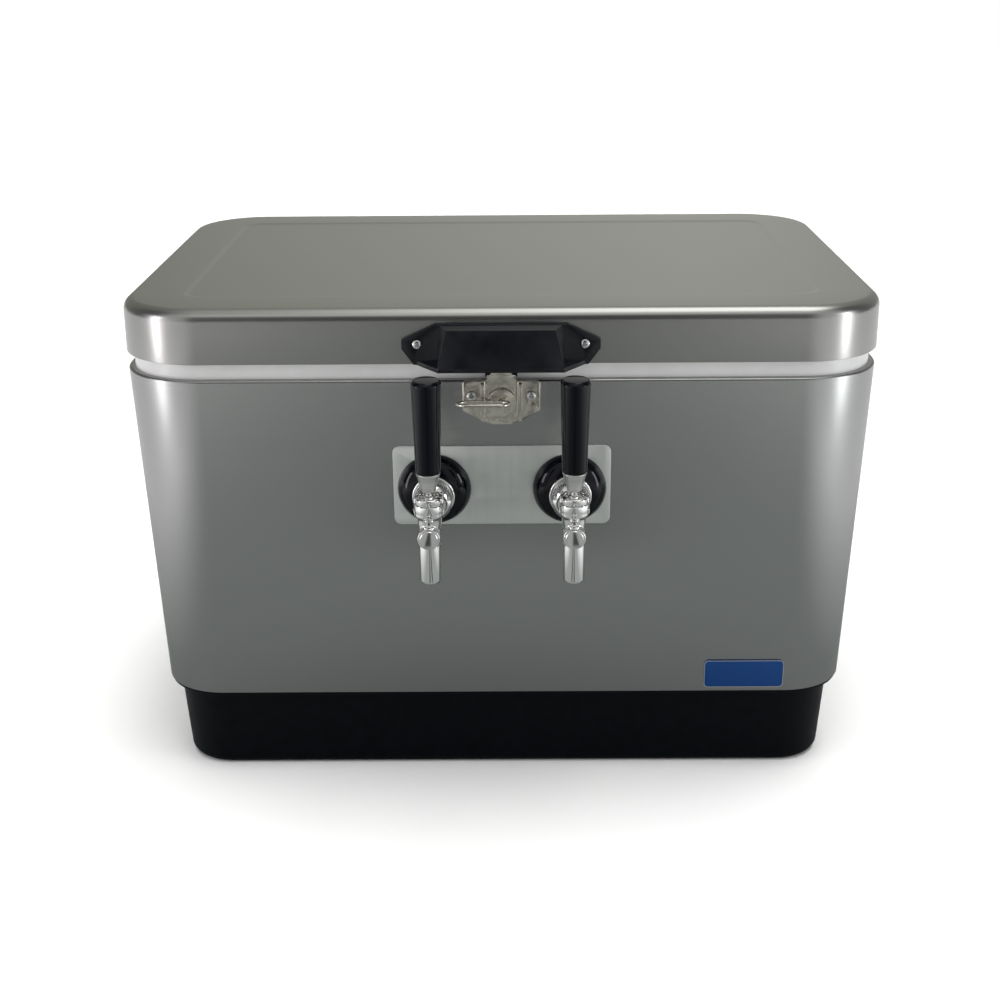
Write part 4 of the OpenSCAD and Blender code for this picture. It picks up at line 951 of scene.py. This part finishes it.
# %% Plates
def round_rect(width, height, radius, steps=8):
    w, h = width / 2, height / 2
    return filleted([(w, -h, radius), (w, h, radius), (-w, h, radius), (-w, -h, radius)], steps)


softened("backing_sheet", "tap_plate", "chest", ("plate_metal", "backing_plate"), 0.4)
badge = moved(plate(round_rect(69, 26, 4), 0, 1.2, 0.5, 3), wall(0, CORE_Y, BASE_H + 17, 209))
piece("blue_badge", badge, "chest", ("blue_enamel", "blue_enamel"), "nameplate")
rim_out, rim_in = round_rect(69, 26, 4), round_rect(67.8, 24.8, 3.4)
rim_points = [(x, -y, z) for y, ring in ((0.9, rim_out), (1.3, rim_out), (1.3, rim_in), (0.9, rim_in))
              for x, z in ring]
count = len(rim_out)
rim_faces = [f for a, b in ((0, 1), (1, 2), (2, 3), (3, 0))
             for f in between_rings(a * count, b * count, count)]
piece("badge_rim", moved((rim_points, rim_faces), wall(0, CORE_Y, BASE_H + 17, 209)), "chest", STEEL)

# %% [markdown]
# ## The taps
# A tap is a stack of turned parts. The flange and the shank's collar stand on the wall, the coupling nut
# draws the faucet onto the shank, and the faucet's ball and lever sit under a knurled bonnet. Each profile
# below was read off the picture's edge, from the handle's top down to the spout.

# %% Tap parts on the wall axis
knurl_tooth = pyramid(1.15, 1.5, 0.42)
nut_rib = rib(0.9, 9, 0.35)
for label, side in SIDES:
    out = tap(side) @ OUT
    flange_line = [(11.3, 1.6), (30.4, 1.6), *[(13 + 18 * cos(a), -2.5 + 18 * sin(a))
                   for a in [radians(14 + 76 * k / 14) for k in range(15)]], (11.3, 15.5)]
    turned_piece(label + "_dome", flange_line, out, "chest", GLOSS, label + "_flange", steps=72)
    shank_line = filleted([(4, -70.3), (6.5, -70.3, 0.4), (6.5, -57.4), (10.5, -57.4, 0.4), (10.5, 15.5),
                           (17.5, 15.5, 0.6), (17.5, 20.5, 1.2), (12, 20.5, 0.3), (12, 27.4), (4, 27.4)], 4)
    shank = grown(label + "_shank_pipe", lathe(shank_line, 56), thread_tree,
                  {"Radius": 0.0107, "Pitch": 0.0014, "Turns": 26.0, "Foot": -0.0565}, "chest", POLISHED,
                  label + "_shank")
    set_down(shank, out)

# %% Coupling nuts
nut_profile = filleted([(13.25, 20.6), (15.1, 20.6, 0.5), (15.1, 33.4, 0.8), (12.4, 36.4, 0.5),
                        (11.25, 36.4, 0.2), (11.25, 31.6), (13.25, 31.6)], 3)
for label, side in SIDES:
    stands_for = ["coupling_nuts"] if side > 0 else []
    nut = grown(label + "_coupling_nut", lathe(nut_profile, 64), teeth_tree,
                {"Tooth": nut_rib, "Count": 52, "Radius": 0.0151, "Foot": 0.0222}, "chest", CHROME, *stands_for)
    set_down(nut, tap(side) @ OUT)

# %% [markdown]
# The faucet's body was cast and then polished, so its parts flow into each other. Its turned shapes are
# joined by remeshing them into one skin, and smoothing rounds each inner corner like a casting's fillet.

# %% Faucet bodies
def cast(name, shape, stands_for, cell=0.45, rounds=5):
    """A chromed casting from shapes that overlap."""
    made = piece(name, shape, "chest", CHROME, stands_for, angle=60)
    skin = made.modifiers.new("skin", "REMESH")
    skin.mode = "VOXEL"
    skin.voxel_size = cell * MM
    melt = made.modifiers.new("melt", "SMOOTH")
    melt.iterations = rounds
    melt.factor = 0.5
    baked(made)
    made.data.shade_smooth()


TAP_REACH = 92.0
barrel_profile = filleted([(0, 28.2), (12.8, 28.2), (12.8, 31.4), (10.8, 31.6), (10.8, 38.6), (8.7, 45.6, 6),
                           (8.7, 104), (0, 104)], 5, closed=False)
neck_profile = filleted([(0, -9.4), (8.2, -9.4), (8.2, 0), (9.0, 8, 5), (9.2, 12.8, 1.5), (11.6, 15.6, 1),
                         (11.6, 24.9), (0, 24.9)], 5, closed=False)
for label, side in SIDES:
    here = tap(side)
    barrel = moved(lathe(barrel_profile, 64), here @ OUT)
    neck = moved(lathe(neck_profile, 64), here @ at(0, -TAP_REACH, 0))
    cast(label + "_faucet_casting", joined(barrel, neck), label + "_faucet_body")

# %% Spouts, front buttons and bonnets
spout_profile = filleted([(6.4, -41), (7.9, -41, 0.5), (8.45, -39.6, 0.6), (8.45, -9.5, 0.4), (6.4, -9.5)], 4)
button_profile = filleted([(0, 104.1), (8.7, 104.1), (8.7, 106.6, 0.7), (6.9, 106.6, 0.4), (6.7, 107.9, 0.5),
                           (0, 108)], 4, closed=False)
bonnet_profile = filleted([(7.7, 25.1), (11.2, 25.1, 0.3), (11.2, 29.2, 0.5), (10.6, 30.2, 0.8), (8.6, 31, 0.8),
                           (7.7, 31, 0.3)], 3)
lower_band = filleted([(9.4, 15), (11.45, 16.4, 0.3), (11.75, 20.2, 0.3), (11.75, 24.9, 0.4), (9.4, 24.9)], 3)
buttons, bonnets = [], []
for label, side in SIDES:
    upright = tap(side) @ at(0, -TAP_REACH, 0)
    turned_piece(label + "_spout_tube", spout_profile, upright, "chest", CHROME, label + "_spout")
    buttons.append(moved(lathe(button_profile, 56), tap(side) @ OUT))
    for part, profile, foot, radius, slope in (("bonnet", bonnet_profile, 0.0261, 0.01115, 0.0),
                                               ("housing", lower_band, 0.0169, 0.01135, 0.0001)):
        stands_for = ["bonnet_nuts"] if (part, side) == ("bonnet", 1) else []
        ring = grown(label + "_" + part, lathe(profile, 60), teeth_tree,
                     {"Tooth": knurl_tooth, "Count": 48, "Rows": 3, "Radius": radius, "Foot": foot,
                      "Step": 0.00125, "Slope": slope}, "chest", CHROME, *stands_for, angle=28)
        set_down(ring, upright)
piece("front_buttons", joined(*buttons), "chest", CHROME, "front_caps")

# %% [markdown]
# The lever is a ball with a stem. On the stem stands a satin ferrule, and the black handle screws down onto
# it. Lever, ferrule and handle move as one.

# %% Levers, ferrules and handles
ferrule_profile = filleted([(4.8, 35), (5.0, 35), (5.8, 35.6, 0.6), (6.5, 39, 3), (9.3, 49.2, 3),
                            (9.4, 50, 0.3), (4.8, 50)], 4)
handle_profile = filleted([(4.8, 50.1), (9.2, 50.1, 0.5), (9.6, 51.6, 2), (11.5, 120, 2), (11.5, 121.6, 1.6),
                           (9.8, 124, 1.8), (0, 124.5)], 6, closed=False) + [(0, 73.4), (4.8, 73.4)]
for label, side in SIDES:
    upright = tap(side) @ at(0, -TAP_REACH, 0)
    mover = label + "_lever"
    softened(label + "_lever_stem", label + "_lever", mover, CHROME, 0.2)
    turned_piece(label + "_cone", ferrule_profile, upright, mover, ("turned_steel", "satin_steel"),
                 label + "_ferrule")
    turned_piece(label + "_black_handle", handle_profile, upright, mover, GLOSS,
                 label + "_tap_handle", steps=64)
    softened(label + "_valve_rod", label + "_valve", label + "_valve", ("brass", "brass"), 0.2)

# %% [markdown]
# ## Inside: coils, nuts and inlets
# Each coil is one tube. It comes in from the back, winds up the inner layer, crosses over at the bottom,
# winds up the outer layer and rises to the shank. As a path it is only a list of points, 48 to a turn.

# %% Coils
COIL_X, OUTER, INNER, TURNS, PER_TURN = 151.12, 95.12, 82.09, 13, 48
COIL_FOOT, COIL_TOP, RISER_BEND, LEAD = 50.07, 172.66, 25.0, 14.0


def riser(x, start, way):
    """The tube from a fitting: in from the wall, down, and level towards the coil. way is -1 at the front."""
    y = CORE_Y + belt_reach(TAP_Z) - start * cos(LEAN)
    z = TAP_Z + start * sin(LEAN)
    y_turn = y - LEAD * cos(LEAN) - RISER_BEND * (1 + sin(LEAN))
    z_turn = z + LEAD * sin(LEAN) - RISER_BEND * cos(LEAN)
    upper = arc(y_turn + RISER_BEND, z_turn, RISER_BEND, 90 - math.degrees(LEAN), 180, 12)
    lower = arc(y_turn - RISER_BEND, COIL_TOP + RISER_BEND, RISER_BEND, 0, -90, 12)
    return [(x, way * a, b) for a, b in [(y, z), *upper, *lower]]


def coil_path(side):
    front = riser(COIL_X - OUTER, 71.35, -1)
    back = riser(COIL_X - INNER, 61.35, 1)
    count = TURNS * PER_TURN
    drop = (COIL_TOP - COIL_FOOT) / count
    winding = [(OUTER, 180 - 360 * k / PER_TURN, COIL_TOP - k * drop) for k in range(count + 1)]
    for k in range(1, count + 1):
        share = min(1.0, k / 10)
        radius = OUTER + (INNER - OUTER) * share * share * (3 - 2 * share)
        winding.append((radius, 180 - 360 * k / PER_TURN, COIL_FOOT + k * drop))
    turns = [(COIL_X + r * cos(radians(a)), r * sin(radians(a)), z) for r, a, z in winding]
    return [(side * x, y, z) for x, y, z in [*front, *turns, *reversed(back)]]


for label, side in SIDES:
    points = coil_path(side)
    grown(label + "_tube_coil", wire(points), tube_tree,
          {"Radius": 0.00468, "Sides": 16}, "chest", STEEL, label + "_coil")

# %% [markdown]
# Nuts have six flats with their corners turned off. A narrow bevel on the CAD's own nuts is all that they
# need.

# %% Nuts and inlets
for name, source, edge in (("shank_lock_nuts", "shank_nuts", 0.5), ("tube_nuts", "line_nuts", 0.5),
                           ("flare_inlets", "inlet_fittings", 0.3), ("inlet_lock_nuts", "inlet_nuts", 0.5)):
    softened(name, source, "chest", STEEL, edge)
for made in [o for o in bpy.data.objects if not o.users_collection]:
    bpy.data.objects.remove(made)
print(len(PIECES), "pieces")

# %% [markdown]
# ## Stage and light
# To the camera the floor and the room are white. Polished steel shows what stands round it, so to every
# other ray the floor is darker, with two dark strips that give the spouts their lines. The room that steel
# sees is painted by direction: dark behind the camera, pale panels beside it, a grey back and a bright
# ceiling that lights the lid's rolled edge. Two tall lamps at the sides draw the bright lines down the
# round corners.

# %% Floor
floor_mesh = bpy.data.meshes.new("floor")
floor_mesh.from_pydata([(-9, -9, 0), (9, -9, 0), (9, 9, 0), (-9, 9, 0)], [], [(0, 1, 2, 3)])
floor = in_scene("floor", floor_mesh)
floor_paint = bpy.data.materials.new("floor_paint")
floor_paint.use_nodes = True
tree = floor_paint.node_tree
spot = node(tree, "ShaderNodeSeparateXYZ", node(tree, "ShaderNodeTexCoord").outputs["Object"])
aside = math_node(tree, "ABSOLUTE", spot.outputs[0])
strip = math_node(tree, "ABSOLUTE", math_node(tree, "SUBTRACT", aside, 0.09))
flag = times(tree, ramp(tree, strip, 0.05, 0.025), ramp(tree, spot.outputs[1], -0.62, -0.72))
lit = mixed(tree, ramp(tree, aside, 0.45, 0.9), (0.29, 0.305, 0.30), (0.75, 0.75, 0.76))
lit = mixed(tree, flag, lit, (0.05, 0.05, 0.05))
seen = node(tree, "ShaderNodeLightPath").outputs["Is Camera Ray"]
cloth = node(tree, "ShaderNodeBsdfDiffuse", Color=mixed(tree, seen, lit, (1.0, 1.0, 1.0)))
tree.links.new(cloth.outputs[0], tree.nodes["Material Output"].inputs["Surface"])
floor_mesh.materials.append(floor_paint)

# %% Room
room = bpy.data.worlds.new("room")
scene.world = room
room.use_nodes = True
tree = room.node_tree
way = node(tree, "ShaderNodeSeparateXYZ", node(tree, "ShaderNodeTexCoord").outputs["Generated"]).outputs
aside = math_node(tree, "ABSOLUTE", way[0])
turn = math_node(tree, "ARCTAN2", aside, times(tree, way[1], -1.0))
panel = ramp(tree, turn, radians(14), radians(26))
front = mixed(tree, panel, (0.04, 0.04, 0.045), (0.70, 0.70, 0.70))
front = mixed(tree, ramp(tree, turn, radians(62), radians(74)), front, (0.13, 0.13, 0.14))
overhead = times(tree, ramp(tree, way[2], 0.62, 0.74), ramp(tree, aside, 0.40, 0.15))
front = mixed(tree, overhead, front, (1.3, 1.3, 1.26))
back = mixed(tree, ramp(tree, way[0], -0.35, 0.12), (0.30, 0.31, 0.27), (0.62, 0.63, 0.57))
back = mixed(tree, ramp(tree, way[0], 0.12, 0.40), back, (0.38, 0.38, 0.36))
tint = mixed(tree, ramp(tree, turn, radians(100), radians(130)), front, back)
tint = mixed(tree, ramp(tree, way[2], 0.80, 0.92), tint, (0.5, 0.5, 0.48))
ceiling = times(tree, ramp(tree, way[2], 0.88, 0.93), ramp(tree, way[0], -0.10, 0.06))
tint = mixed(tree, ceiling, tint, (3.4, 3.4, 3.3))
path = node(tree, "ShaderNodeLightPath")
tint = mixed(tree, path.outputs["Is Camera Ray"], tint, (1, 1, 1))
tree.links.new(tint, tree.nodes["Background"].inputs["Color"])
tree.nodes["Background"].inputs["Strength"].default_value = 1.0


# %% Lights
def softbox(name, place, aim, width, height, power, color):
    """A lamp with a flat rectangular face that looks at aim."""
    lamp = bpy.data.lights.new(name, "AREA")
    lamp.shape = "RECTANGLE"
    lamp.size, lamp.size_y = width, height
    lamp.energy = power
    lamp.color = color
    holder = in_scene(name, lamp)
    holder.location = place
    holder.rotation_euler = (Vector(aim) - Vector(place)).to_track_quat("-Z", "Y").to_euler()


softbox("left_light", (-1.35, -0.68, 0.45), (-0.3, -0.2, 0.3), 0.22, 0.88, 4.6, (1.0, 0.95, 1.0))
softbox("right_light", (1.35, -0.68, 0.45), (0.3, -0.2, 0.3), 0.22, 0.88, 4.6, (0.96, 0.97, 1.0))
sky = in_scene("sky_light", bpy.data.lights.new("sky_light", "SUN"))
sky.data.energy = 1.75
sky.data.angle = radians(60)
sky.rotation_euler = (radians(-8), 0, 0)
sky.visible_glossy = False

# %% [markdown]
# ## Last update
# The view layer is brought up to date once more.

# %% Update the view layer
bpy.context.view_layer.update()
